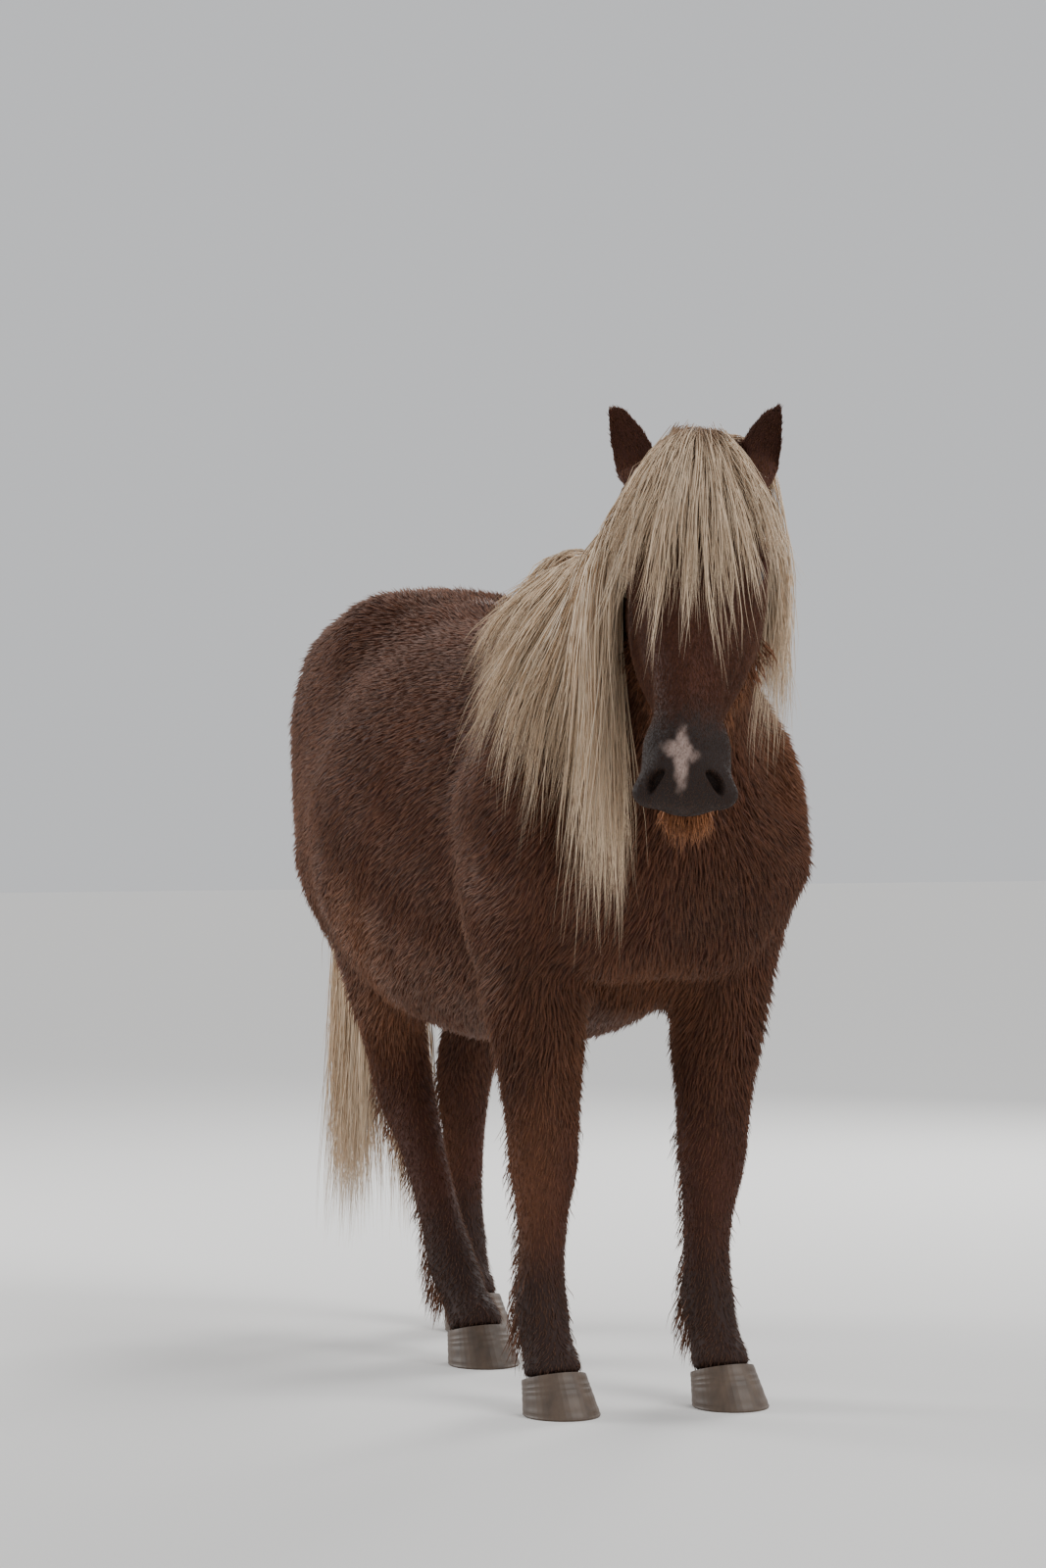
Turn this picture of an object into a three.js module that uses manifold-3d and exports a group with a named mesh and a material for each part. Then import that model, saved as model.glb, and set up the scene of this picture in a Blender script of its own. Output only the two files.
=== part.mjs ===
// An Icelandic horse in its winter coat, halted in mid-walk with its head turned to its right.
// The body is one smooth shape blended from chains of oval beads that follow bone and muscle.
// Each node is that shape, meshed on a grid of its own and cut from its neighbours on planes.
// Millimetres. +X is the horse's left, +Y its rear, +Z up, and the ground is z = 0.
import * as THREE from 'three';
import { mergeVertices } from 'three/addons/utils/BufferGeometryUtils.js';
import Module from 'manifold-3d';

const wasm = await Module();
wasm.setup();

// Driving dimensions
const GAP = 0.3;              // clearance between touching nodes
const HOOF_HEIGHT = 74;       // coronet above the ground at the toe
const HEEL_HEIGHT = 46;       // coronet above the ground at the heel
const SOLE_HALF = 63;         // half width of a sole
const EYE_RADIUS = 24;
const EAR_LENGTH = 128;
const EAR_HALF_WIDTH = 34;
const MANE_LOCKS_RIGHT = 22;
const MANE_LOCKS_LEFT = 9;
const FORELOCK_LOCKS = 15;
const TAIL_LOCKS = 18;
const FEATHER_LOCKS = 5;      // on each fetlock
const BEARD_LOCKS = 8;
// Half width and half thickness of one lock
const LOCK = { mane: [30, 6], forelock: [17, 5], beard: [9, 4], feather: [12, 4], tail: [24, 8] };
const FEATHER_ROOT = 158;     // height of the feathers' roots behind each fetlock
const DOCK_TOP = 1050;        // the tail's locks grow from here down
const TAIL_END = 132;         // the longest lock's tip above the ground
const DEG = Math.PI / 180;

// Head frame: s across to the left, u down the face to the muzzle, w out of the forehead
const HEAD_YAW = 28 * DEG;    // the face turns to the horse's right
const HEAD_PITCH = 69 * DEG;  // the face below the horizontal
const HEAD_ROLL = -1.5 * DEG;
const POLL = new THREE.Vector3(-105, -885, 1545);
const FORWARD = new THREE.Vector3(-Math.sin(HEAD_YAW), -Math.cos(HEAD_YAW), 0);
const UP = new THREE.Vector3(0, 0, 1);
const rolled = (v) => v.clone().applyAxisAngle(FORWARD, HEAD_ROLL);
const S = rolled(new THREE.Vector3(Math.cos(HEAD_YAW), -Math.sin(HEAD_YAW), 0));
const inFacePlane = (ahead, rise) => rolled(FORWARD.clone().multiplyScalar(ahead).addScaledVector(UP, rise));
const U = inFacePlane(Math.cos(HEAD_PITCH), -Math.sin(HEAD_PITCH));
const W = inFacePlane(Math.sin(HEAD_PITCH), Math.cos(HEAD_PITCH));
const headVector = (s, u, w) => S.clone().multiplyScalar(s).addScaledVector(U, u).addScaledVector(W, w);
const headPoint = (s, u, w) => headVector(s, u, w).add(POLL);
const mix = (s, u, w) => headVector(s, u, w).normalize();
const headFrame = new THREE.Matrix4().makeBasis(U, S, W).setPosition(POLL);

// A form is a chain of oval beads: each station is x, y, z, half across, half deep
const body = [];

function smoothPath(stations, steps) {
  const first = stations[0];
  const last = stations[stations.length - 1];
  const before = first.map((v, i) => 2 * v - stations[1][i]);
  const after = last.map((v, i) => 2 * v - stations[stations.length - 2][i]);
  const p = [before, ...stations, after];
  const out = [];
  for (let i = 1; i < p.length - 2; i++) {
    for (let j = 0; j < steps; j++) {
      const t = j / steps;
      out.push(first.map((_, n) => 0.5 * (2 * p[i][n] + (p[i + 1][n] - p[i - 1][n]) * t
        + (2 * p[i - 1][n] - 5 * p[i][n] + 4 * p[i + 1][n] - p[i + 2][n]) * t * t
        + (-p[i - 1][n] + 3 * p[i][n] - 3 * p[i + 1][n] + p[i + 2][n]) * t * t * t)));
    }
  }
  out.push(last);
  return out;
}

function form(stations, { blend = 40, across = [1, 0, 0], steps = 4, cap = 0, into = body } = {}) {
  const points = smoothPath(stations, steps);
  const side = new THREE.Vector3(...across).normalize();
  const segments = [];
  for (let i = 0; i < points.length - 1; i++) {
    const a = new THREE.Vector3(...points[i]);
    const along = new THREE.Vector3(...points[i + 1]).sub(a);
    const length = along.length();
    along.divideScalar(length);
    const cross = side.clone().addScaledVector(along, -side.dot(along)).normalize();
    const deep = new THREE.Vector3().crossVectors(along, cross);
    segments.push([a.x, a.y, a.z, along.x, along.y, along.z, cross.x, cross.y, cross.z,
      deep.x, deep.y, deep.z, length, points[i][3], points[i + 1][3], points[i][4], points[i + 1][4]]);
  }
  const reach = Math.max(...stations.flatMap((s) => [s[3], s[4]])) + Math.max(blend, 60) + cap;
  const low = [0, 1, 2].map((n) => Math.min(...stations.map((s) => s[n])) - reach);
  const high = [0, 1, 2].map((n) => Math.max(...stations.map((s) => s[n])) + reach);
  into.push({ segments, blend, cap, low, high });
}

function pair(stations, options) {
  form(stations, options);
  form(stations.map(([x, ...rest]) => [-x, ...rest]), options);
}

function inHead(stations, options) {
  form(stations.map(([s, u, w, a, b]) => [...headPoint(s, u, w).toArray(), a, b]),
    { blend: 30, across: S.toArray(), ...options });
}

function formDistance(shape, x, y, z) {
  let best = 1e9;
  for (const g of shape.segments) {
    const px = x - g[0];
    const py = y - g[1];
    const pz = z - g[2];
    const reach = px * g[3] + py * g[4] + pz * g[5];
    const t = Math.min(Math.max(reach / g[12], 0), 1);
    const along = reach - t * g[12];
    const cross = px * g[6] + py * g[7] + pz * g[8];
    const deep = px * g[9] + py * g[10] + pz * g[11];
    const a = g[13] + (g[14] - g[13]) * t;
    const b = g[15] + (g[16] - g[15]) * t;
    const c = shape.cap || Math.min(a, b);
    const k0 = Math.hypot(cross / a, deep / b, along / c);
    const k1 = Math.hypot(cross / (a * a), deep / (b * b), along / (c * c)) + 1e-9;
    best = Math.min(best, k0 * (k0 - 1) / k1);
  }
  return best;
}

function fieldOf(shapes, x, y, z) {
  let value = 300;
  for (const f of shapes) {
    if (x < f.low[0] || y < f.low[1] || z < f.low[2]) continue;
    if (x > f.high[0] || y > f.high[1] || z > f.high[2]) continue;
    const d = formDistance(f, x, y, z);
    const h = Math.max(f.blend - Math.abs(value - d), 0) / f.blend;
    value = Math.min(value, d) - h * h * f.blend / 4;
  }
  return value;
}

// Trunk: a round barrel, fat with winter feed, between deep shoulders and broad quarters
form([[0, -590, 940, 130, 160], [0, -530, 965, 180, 245], [0, -400, 990, 225, 340], [0, -230, 965, 280, 362],
  [0, -30, 945, 325, 375], [0, 140, 955, 335, 375], [0, 290, 1010, 295, 365], [0, 430, 1070, 250, 325],
  [0, 540, 1075, 200, 258]], { steps: 9, cap: 110 });
form([[0, -150, 860, 255, 250], [0, 150, 860, 270, 250]], { blend: 60, cap: 220 });
form([[0, -560, 1270, 55, 80], [0, -420, 1295, 60, 80], [0, -240, 1275, 60, 70]], { blend: 60 });
pair([[110, -350, 1200, 80, 110], [180, -450, 1040, 95, 140], [190, -500, 890, 95, 120]], { blend: 60 });
pair([[195, -400, 980, 85, 130], [185, -410, 800, 85, 115]], { blend: 60 });
pair([[80, -580, 900, 95, 90], [90, -550, 780, 85, 90]], { blend: 60 });
pair([[115, 330, 1220, 120, 150], [130, 460, 1180, 110, 150]], { blend: 60 });
pair([[165, 380, 1120, 90, 185], [170, 350, 960, 88, 175], [180, 320, 850, 75, 140]], { blend: 60 });
pair([[105, 530, 1120, 100, 108], [125, 510, 960, 92, 108]], { blend: 60 });

// Legs: stations from the top down, leaned to where each foot stands
const FORE = [[180, -420, 880, 95, 130], [172, -430, 750, 92, 115], [160, -440, 620, 80, 88],
  [152, -447, 500, 66, 68], [148, -452, 405, 60, 60], [146, -450, 350, 50, 52], [144, -446, 290, 42, 46],
  [144, -446, 220, 41, 46], [144, -450, 165, 46, 52], [144, -478, 105, 44, 46], [144, -500, 66, 50, 56]];
const HIND = [[185, 350, 900, 85, 150], [175, 380, 780, 78, 120], [160, 440, 660, 72, 98],
  [145, 495, 560, 58, 76], [140, 520, 480, 54, 72], [138, 510, 410, 46, 57], [137, 500, 330, 40, 46],
  [137, 490, 230, 39, 45], [137, 480, 165, 45, 51], [137, 452, 105, 43, 45], [137, 430, 66, 50, 56]];
const FEET = {
  fore_left: { rows: FORE, side: 1, shift: [0, 25] },
  fore_right: { rows: FORE, side: -1, shift: [0, 60] },
  hind_left: { rows: HIND, side: 1, shift: [-30, 50] },
  hind_right: { rows: HIND, side: -1, shift: [-90, -330] },
};
for (const leg of Object.values(FEET)) {
  const top = leg.rows[0][2];
  const bottom = leg.rows[leg.rows.length - 1][2];
  const stations = leg.rows.map(([x, y, z, a, b]) => {
    const lean = ((top - z) / (top - bottom)) ** 0.85;
    return [leg.side * (x + leg.shift[0] * lean), y + leg.shift[1] * lean, z, a, b];
  });
  form(stations, { blend: 45 });
  leg.foot = stations[stations.length - 1];
}

// Neck: short and thick, carried up and bent a little to the right
form([[0, -380, 1090, 190, 250], [-5, -520, 1150, 155, 240], [-22, -650, 1250, 125, 200],
  [-45, -760, 1340, 108, 170], [-68, -860, 1420, 95, 140]], { blend: 70, across: [0.97, -0.24, 0] });

// Head: skull, face, jaws, muzzle, chin and the ridge over each eye
inHead([[0, 30, -85, 80, 80], [0, 150, -85, 92, 82]]);
inHead([[0, 150, -80, 92, 80], [0, 250, -78, 78, 72], [0, 380, -66, 56, 58], [0, 480, -60, 50, 54]]);
inHead([[0, 110, -165, 85, 95], [0, 210, -165, 104, 105], [0, 300, -150, 92, 85], [0, 380, -135, 60, 55]]);
inHead([[0, 290, -150, 60, 45], [0, 400, -120, 44, 40], [0, 500, -112, 38, 34]], { blend: 25 });
inHead([[0, 490, -62, 66, 56], [0, 532, -68, 69, 56]], { blend: 25 });
inHead([[0, 505, -118, 38, 28], [0, 540, -120, 42, 27]], { blend: 14 });
const EYES = {};
for (const [name, side] of [['left', 1], ['right', -1]]) {
  inHead([[side * 78, 150, -48, 26, 28], [side * 86, 205, -52, 22, 22]], { blend: 20 });
  inHead([[side * 80, 188, -74, EYE_RADIUS + 4, EYE_RADIUS + 4], [side * 80, 196, -74, EYE_RADIUS + 4,
    EYE_RADIUS + 4]], { blend: 14 });
  inHead([[side * 84, 250, -98, 14, 14], [side * 68, 330, -88, 12, 12]], { blend: 30 });
  EYES[name] = { centre: headPoint(side * 81, 192, -74), side };
}

// Grid mesher: one vertex in each cell that the surface crosses, then drawn onto the surface
function net({ frame = new THREE.Matrix4(), low, high, cell, shapes = body, grow = 0 }) {
  const n = [0, 1, 2].map((i) => Math.ceil((high[i] - low[i]) / cell[i]) + 1);
  const at = (i, j, k) => (i * n[1] + j) * n[2] + k;
  const values = new Float32Array(n[0] * n[1] * n[2]);
  const p = new THREE.Vector3();
  const place = (i, j, k) => {
    p.set(low[0] + i * cell[0], low[1] + j * cell[1], low[2] + k * cell[2]).applyMatrix4(frame);
  };
  for (let i = 0; i < n[0]; i++) {
    for (let j = 0; j < n[1]; j++) {
      for (let k = 0; k < n[2]; k++) {
        place(i, j, k);
        const edge = !i || !j || !k || i === n[0] - 1 || j === n[1] - 1 || k === n[2] - 1;
        const value = fieldOf(shapes, p.x, p.y, p.z) - grow;
        values[at(i, j, k)] = edge ? Math.max(value, 1) : value;
      }
    }
  }
  const corner = (m) => [m & 1, (m >> 1) & 1, (m >> 2) & 1];
  const owner = new Int32Array(values.length).fill(-1);
  const spots = [];
  const onEdge = [];
  for (let i = 0; i < n[0] - 1; i++) {
    for (let j = 0; j < n[1] - 1; j++) {
      for (let k = 0; k < n[2] - 1; k++) {
        const sum = [0, 0, 0];
        let crossings = 0;
        for (let a = 0; a < 8; a++) {
          for (const bit of [1, 2, 4]) {
            if (a & bit) continue;
            const [ai, aj, ak] = corner(a);
            const [bi, bj, bk] = corner(a | bit);
            const va = values[at(i + ai, j + aj, k + ak)];
            const vb = values[at(i + bi, j + bj, k + bk)];
            if ((va < 0) === (vb < 0)) continue;
            const t = va / (va - vb);
            sum[0] += ai + (bi - ai) * t;
            sum[1] += aj + (bj - aj) * t;
            sum[2] += ak + (bk - ak) * t;
            crossings++;
          }
        }
        if (!crossings) continue;
        owner[at(i, j, k)] = spots.length / 3;
        place(i + sum[0] / crossings, j + sum[1] / crossings, k + sum[2] / crossings);
        spots.push(p.x, p.y, p.z);
        onEdge.push(!i || !j || !k || i === n[0] - 2 || j === n[1] - 2 || k === n[2] - 2);
      }
    }
  }
  for (let v = 0; v < onEdge.length; v++) {
    if (onEdge[v]) continue;
    for (let pass = 0; pass < 3; pass++) {
      const [x, y, z] = [spots[3 * v], spots[3 * v + 1], spots[3 * v + 2]];
      const f = fieldOf(shapes, x, y, z) - grow;
      const gx = fieldOf(shapes, x + 1, y, z) - grow - f;
      const gy = fieldOf(shapes, x, y + 1, z) - grow - f;
      const gz = fieldOf(shapes, x, y, z + 1) - grow - f;
      const scale = Math.max(Math.min(f / (gx * gx + gy * gy + gz * gz + 0.05), 6), -6);
      spots[3 * v] -= gx * scale;
      spots[3 * v + 1] -= gy * scale;
      spots[3 * v + 2] -= gz * scale;
    }
  }
  const triangles = [];
  const gapBetween = (a, b) => Math.hypot(spots[3 * a] - spots[3 * b], spots[3 * a + 1] - spots[3 * b + 1],
    spots[3 * a + 2] - spots[3 * b + 2]);
  const steps = [[1, 0, 0], [0, 1, 0], [0, 0, 1]];
  for (let i = 0; i < n[0] - 1; i++) {
    for (let j = 0; j < n[1] - 1; j++) {
      for (let k = 0; k < n[2] - 1; k++) {
        for (let m = 0; m < 3; m++) {
          const [di, dj, dk] = steps[m];
          const inside = values[at(i, j, k)] < 0;
          if (inside === (values[at(i + di, j + dj, k + dk)] < 0)) continue;
          const b = steps[(m + 1) % 3];
          const c = steps[(m + 2) % 3];
          const cellAt = (x, y) => {
            const [p0, p1, p2] = [0, 1, 2].map((n) => [i, j, k][n] - b[n] * x - c[n] * y);
            return owner[at(p0, p1, p2)];
          };
          const ring = [cellAt(1, 1), cellAt(0, 1), cellAt(0, 0), cellAt(1, 0)];
          if (!inside) ring.reverse();
          const [q, r, s, t] = ring;
          if (gapBetween(q, s) <= gapBetween(r, t)) triangles.push(q, r, s, q, s, t);
          else triangles.push(q, r, t, r, s, t);
        }
      }
    }
  }
  return solid(spots, triangles);
}

// Solids for joining and cutting
function solid(vertices, triangles) {
  return new wasm.Manifold(new wasm.Mesh({
    numProp: 3,
    vertProperties: Float32Array.from(vertices),
    triVerts: Uint32Array.from(triangles),
  }));
}

function solidOf(geometry, matrix = new THREE.Matrix4()) {
  const plain = geometry.clone().applyMatrix4(matrix);
  plain.deleteAttribute('normal');
  plain.deleteAttribute('uv');
  const merged = mergeVertices(plain, 1e-3);
  const index = Array.from(merged.index.array);
  const kept = [];
  for (let i = 0; i < index.length; i += 3) {
    const [a, b, c] = index.slice(i, i + 3);
    if (a !== b && b !== c && c !== a) kept.push(a, b, c);
  }
  return solid(Array.from(merged.attributes.position.array), kept);
}

function largest(shape) {
  const pieces = shape.decompose();
  return pieces.reduce((best, piece) => (piece.volume() > best.volume() ? piece : best));
}

const join = (pieces) => pieces.reduce((sum, piece) => sum.add(piece));
const trim = (shape, normal, point) => {
  const unit = normal.clone().normalize();
  return shape.trimByPlane(unit.toArray(), unit.dot(point));
};
const ball = (centre, axes, radii, around = 12) => {
  const matrix = new THREE.Matrix4().makeBasis(...axes).setPosition(centre);
  return solidOf(new THREE.SphereGeometry(1, around, Math.round(around * 0.6)).scale(...radii), matrix);
};

// Cut planes between torso, neck and head
const NECK_BASE = { normal: new THREE.Vector3(-0.1, -0.82, 0.56), point: new THREE.Vector3(0, -560, 1130) };
const THROAT = { normal: mix(0, 0.4, 0.9165), point: headPoint(0, -30, -110) };
const off = (plane, distance) => plane.point.clone().addScaledVector(plane.normal.clone().normalize(), distance);
const flipped = (plane) => plane.normal.clone().negate();

// The block that a leg is cut from the body with, its top rising outwards
function legBlock(side, low, high, inner, floor, slope, spare) {
  const width = 420;
  const tall = 900;
  const block = new THREE.BoxGeometry(width + 2 * spare, high - low + 2 * spare, tall + 2 * spare);
  block.applyMatrix4(new THREE.Matrix4().makeShear(0, side * slope, 0, 0, 0, 0));
  return solidOf(block, new THREE.Matrix4().makeTranslation(side * (inner + width / 2), (low + high) / 2,
    floor - tall / 2 + slope * width / 2));
}

const colours = {
  coat: { color: 0x4a2418, roughness: 0.85, metalness: 0 },
  hair: { color: 0xcdb69a, roughness: 0.75, metalness: 0 },
  horn: { color: 0x6b5a48, roughness: 0.6, metalness: 0 },
  eye: { color: 0x1a0d07, roughness: 0.15, metalness: 0 },
};
const horse = new THREE.Group();

// Cuts leave edges too short to matter: each is collapsed where that keeps the surface whole
function tidied(mesh, reach = 0.3) {
  const spots = Array.from(mesh.vertProperties);
  const corners = Array.from(mesh.triVerts);
  const triangles = [];
  const users = Array.from({ length: spots.length / 3 }, () => new Set());
  for (let i = 0; i < corners.length; i += 3) {
    for (let e = 0; e < 3; e++) users[corners[i + e]].add(triangles.length);
    triangles.push(corners.slice(i, i + 3));
  }
  const gapBetween = (a, b) => Math.hypot(...[0, 1, 2].map((n) => spots[3 * a + n] - spots[3 * b + n]));
  const neighbours = (v) => new Set([...users[v]].flatMap((t) => triangles[t]).filter((u) => u !== v));
  const queue = triangles.map((_, t) => t);
  while (queue.length) {
    const triangle = triangles[queue.pop()];
    if (!triangle) continue;
    for (let e = 0; e < 3; e++) {
      const [a, b] = [triangle[e], triangle[(e + 1) % 3]];
      if (gapBetween(a, b) > reach) continue;
      const near = neighbours(b);
      if ([...neighbours(a)].filter((v) => near.has(v)).length !== 2) continue;
      for (const t of [...users[b]]) {
        const other = triangles[t];
        if (other.includes(a)) {
          other.forEach((v) => users[v].delete(t));
          triangles[t] = null;
          continue;
        }
        other[other.indexOf(b)] = a;
        users[a].add(t);
        queue.push(t);
      }
      users[b].clear();
      break;
    }
  }
  const kept = triangles.filter(Boolean);
  const used = [...new Set(kept.flat())].sort((a, b) => spots[3 * a] - spots[3 * b]);
  const twins = new Set();
  used.forEach((v, i) => {
    for (let j = i + 1; j < used.length && spots[3 * used[j]] - spots[3 * v] < 0.03; j++) {
      if (gapBetween(v, used[j]) < 0.03) twins.add(v).add(used[j]);
    }
  });
  for (const v of twins) {
    const facing = new THREE.Vector3();
    for (const t of users[v]) {
      const [a, b, c] = triangles[t].map((u) => new THREE.Vector3().fromArray(spots, 3 * u));
      facing.add(b.sub(a).cross(c.sub(a)));
    }
    facing.normalize().toArray().forEach((f, n) => { spots[3 * v + n] -= 0.05 * f; });
  }
  return [spots, kept.flat()];
}

function addNode(name, shape, material) {
  const kept = largest(shape);
  const [spots, corners] = tidied(kept.getMesh());
  const geometry = new THREE.BufferGeometry();
  geometry.setAttribute('position', new THREE.BufferAttribute(Float32Array.from(spots), 3));
  geometry.setIndex(new THREE.BufferAttribute(Uint32Array.from(corners), 1));
  const node = new THREE.Mesh(geometry, new THREE.MeshStandardMaterial(colours[material]));
  node.name = name;
  horse.add(node);
  return kept;
}

// Hair: flat tapered locks that leave the skin, bend down and lie over the body
let seed = 11;
function random(low = 0, high = 1) {
  seed = (seed * 1664525 + 1013904223) % 4294967296;
  return low + (high - low) * (seed / 4294967296);
}

function slopeOf(shapes, p) {
  const f = fieldOf(shapes, p.x, p.y, p.z);
  return new THREE.Vector3(fieldOf(shapes, p.x + 1, p.y, p.z) - f, fieldOf(shapes, p.x, p.y + 1, p.z) - f,
    fieldOf(shapes, p.x, p.y, p.z + 1) - f).normalize();
}

// A lock's line: it starts at its root, turns towards where it falls and stays clear of the body
function lockLine({ root, leave, fall, length, bend = 0.16, clear = 8, shapes = body, segments = 5 }) {
  const steps = segments * 3;
  const p = root.clone();
  const heading = leave.clone().normalize();
  const turn = 1 - (1 - bend) ** (length / steps / 20);
  const out = slopeOf(shapes, p);
  const line = [{ at: p.clone(), out: out.clone() }];
  for (let i = 1; i <= steps; i++) {
    heading.lerp(fall, turn).normalize();
    const before = p.clone();
    p.addScaledVector(heading, length / steps);
    const floor = clear * Math.min(i / 3, 1);
    for (let pass = 0; pass < 3; pass++) {
      const gap = fieldOf(shapes, p.x, p.y, p.z) - floor;
      if (gap < 0) p.addScaledVector(slopeOf(shapes, p), -gap);
    }
    heading.copy(p).sub(before).normalize();
    const slope = slopeOf(shapes, p);
    if (slope.length() > 0.5) out.copy(slope);
    if (i % 3 === 0) line.push({ at: p.clone(), out: out.clone() });
  }
  return line;
}

function lockSolid(line, wide, thick, spare = 0) {
  const points = [];
  const faces = [];
  const last = line.length - 1;
  line.forEach(({ at, out }, i) => {
    const ahead = line[Math.min(i + 1, last)].at.clone().sub(line[Math.max(i - 1, 0)].at).normalize();
    const t = i / last;
    const taper = (0.62 + 1.1 * t) * (1 - t ** 2.4) ** 0.8;
    if (i === last) {
      points.push(...at.toArray());
      return;
    }
    const across = new THREE.Vector3().crossVectors(ahead, out).normalize();
    const up = new THREE.Vector3().crossVectors(across, ahead).normalize();
    for (const [side, rise] of [[1, 0], [0, 1], [-1, 0], [0, -1]]) {
      points.push(...at.clone().addScaledVector(across, side * (wide * taper + spare))
        .addScaledVector(up, rise * (thick * (0.35 + 0.65 * taper) + spare)).toArray());
    }
  });
  for (let i = 0; i < last; i++) {
    for (let j = 0; j < 4; j++) {
      const [a, b] = [4 * i + j, 4 * i + (j + 1) % 4];
      if (i === last - 1) faces.push(a, 4 * last, b);
      else faces.push(a, b + 4, b, a, a + 4, b + 4);
    }
  }
  faces.push(0, 1, 2, 0, 2, 3);
  return solid(points, faces);
}

const spread = (i, count) => (i + 0.5 + random(-0.3, 0.3)) / count;

// Torso
const blocks = {
  fore_left: (spare) => legBlock(1, -720, -300, 52, 610, 0.75, spare),
  fore_right: (spare) => legBlock(-1, -720, -300, 52, 610, 0.75, spare),
  hind_left: (spare) => legBlock(1, 290, 720, 40, 600, 0.6, spare),
  hind_right: (spare) => legBlock(-1, -60, 720, 40, 562, 0.45, spare),
};
const torsoGrid = { low: [-430, -780, 500], high: [430, 730, 1440], cell: [60, 68, 60] };
let torso = net(torsoGrid);
const torsoSpace = net({ ...torsoGrid, grow: 1.2 });
torso = trim(torso, flipped(NECK_BASE), off(NECK_BASE, -GAP / 2));
for (const block of Object.values(blocks)) torso = torso.subtract(block(GAP));
torso = largest(torso);

// Neck
let neck = net({ low: [-340, -1080, 860], high: [260, -380, 1660], cell: [38, 38, 38] });
neck = trim(neck, NECK_BASE.normal, off(NECK_BASE, GAP / 2));
neck = trim(neck, flipped(THROAT), off(THROAT, -GAP / 2));

// Legs and hooves
for (const [name, leg] of Object.entries(FEET)) {
  const [x, y] = leg.foot;
  const fore = name.startsWith('fore');
  const low = fore ? [x - 180, -700, 0] : [x - 190, Math.min(y, 250) - 220, 0];
  const high = fore ? [x + 220, -200, 960] : [x + 220, 720, 960];
  if (leg.side < 0) [low[0], high[0]] = [x - 220, x + 180];
  let limb = net({ low, high, cell: [27, 27, 56] });
  limb = limb.intersect(blocks[name](0));
  const coronet = {
    normal: new THREE.Vector3(0, HOOF_HEIGHT - HEEL_HEIGHT, 116),
    point: new THREE.Vector3(x, y - 56, HOOF_HEIGHT),
  };
  limb = trim(limb, coronet.normal, off(coronet, GAP / 2));
  const feathers = [];
  for (let i = 0; i < FEATHER_LOCKS; i++) {
    const turn = (spread(i, FEATHER_LOCKS) - 0.5) * 2.6;
    const back = new THREE.Vector3(Math.sin(turn), Math.cos(turn), 0);
    const root = new THREE.Vector3(x, y + 30, FEATHER_ROOT + random(-14, 14)).addScaledVector(back, 26);
    const line = lockLine({ root, leave: back.clone().setZ(-0.9), fall: back.clone().setZ(-3).normalize(),
      bend: 0.5, length: random(66, 88), clear: 3, segments: 3 });
    feathers.push(lockSolid(line, ...LOCK.feather));
  }
  limb = join([limb, ...feathers]);
  addNode(`leg_${name}`, limb, 'coat');
  const rings = [0, 6, 40, 96].map((z) => {
    const t = z / HOOF_HEIGHT;
    const flare = z < 6 ? 2 : 0;
    return { z, y: y - 38 + 38 * t, across: SOLE_HALF - flare - 13 * t, deep: 66 - flare - 12 * t };
  });
  const around = 16;
  const points = [];
  const faces = [];
  rings.forEach((ring, i) => {
    for (let j = 0; j < around; j++) {
      const angle = (2 * Math.PI * j) / around;
      points.push(x + ring.across * Math.cos(angle), ring.y + ring.deep * Math.sin(angle), ring.z);
      if (i === rings.length - 1) continue;
      const a = i * around + j;
      const b = i * around + (j + 1) % around;
      faces.push(a, b, b + around, a, b + around, a + around);
    }
  });
  for (let j = 1; j < around - 1; j++) {
    faces.push(0, j + 1, j);
    const last = (rings.length - 1) * around;
    faces.push(last, last + j, last + j + 1);
  }
  let hoof = solid(points, faces);
  hoof = trim(hoof, flipped(coronet), off(coronet, -GAP / 2));
  addNode(`hoof_${name}`, hoof, 'horn');
}

// Ears: leaf-shaped cups on the sides of the poll
function leaf(origin, axes, length, wide, start, end, scale, push) {
  const [across, axis, front] = axes;
  const rows = 6;
  const around = 10;
  const points = [];
  const faces = [];
  for (let i = 0; i <= rows; i++) {
    const t = start + (end - start) * (i / rows);
    const bulge = Math.max(Math.sin(Math.PI * (0.16 + 0.84 * t) ** 0.8) ** 0.75, 0.04);
    const half = scale * wide * bulge * (1 - 0.25 * t);
    const centre = origin.clone().addScaledVector(axis, t * length)
      .addScaledVector(front, push * wide - 0.16 * length * Math.sin(Math.PI * t));
    for (let j = 0; j < around; j++) {
      const angle = (2 * Math.PI * j) / around;
      points.push(...centre.clone().addScaledVector(across, half * Math.cos(angle))
        .addScaledVector(front, 0.6 * half * Math.sin(angle)).toArray());
      if (i === rows) continue;
      const a = i * around + j;
      const b = i * around + (j + 1) % around;
      faces.push(a, b + around, b, a, a + around, b + around);
    }
  }
  for (let j = 1; j < around - 1; j++) {
    faces.push(0, j, j + 1);
    const last = rows * around;
    faces.push(last, last + j + 1, last + j);
  }
  return solid(points, faces);
}
const cups = [];
const EARS = {
  left: { base: [86, 40, -92], axis: [0.27, -0.72, 0.62], turn: 0.35 },
  right: { base: [-86, 40, -92], axis: [-0.36, -0.8, 0.4], turn: -0.35 },
};
let head = net({ frame: headFrame, low: [-120, -160, -330], high: [640, 160, 70], cell: [30, 22, 22] });
head = trim(head, THROAT.normal, off(THROAT, GAP / 2));
const forelock = [];
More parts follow.
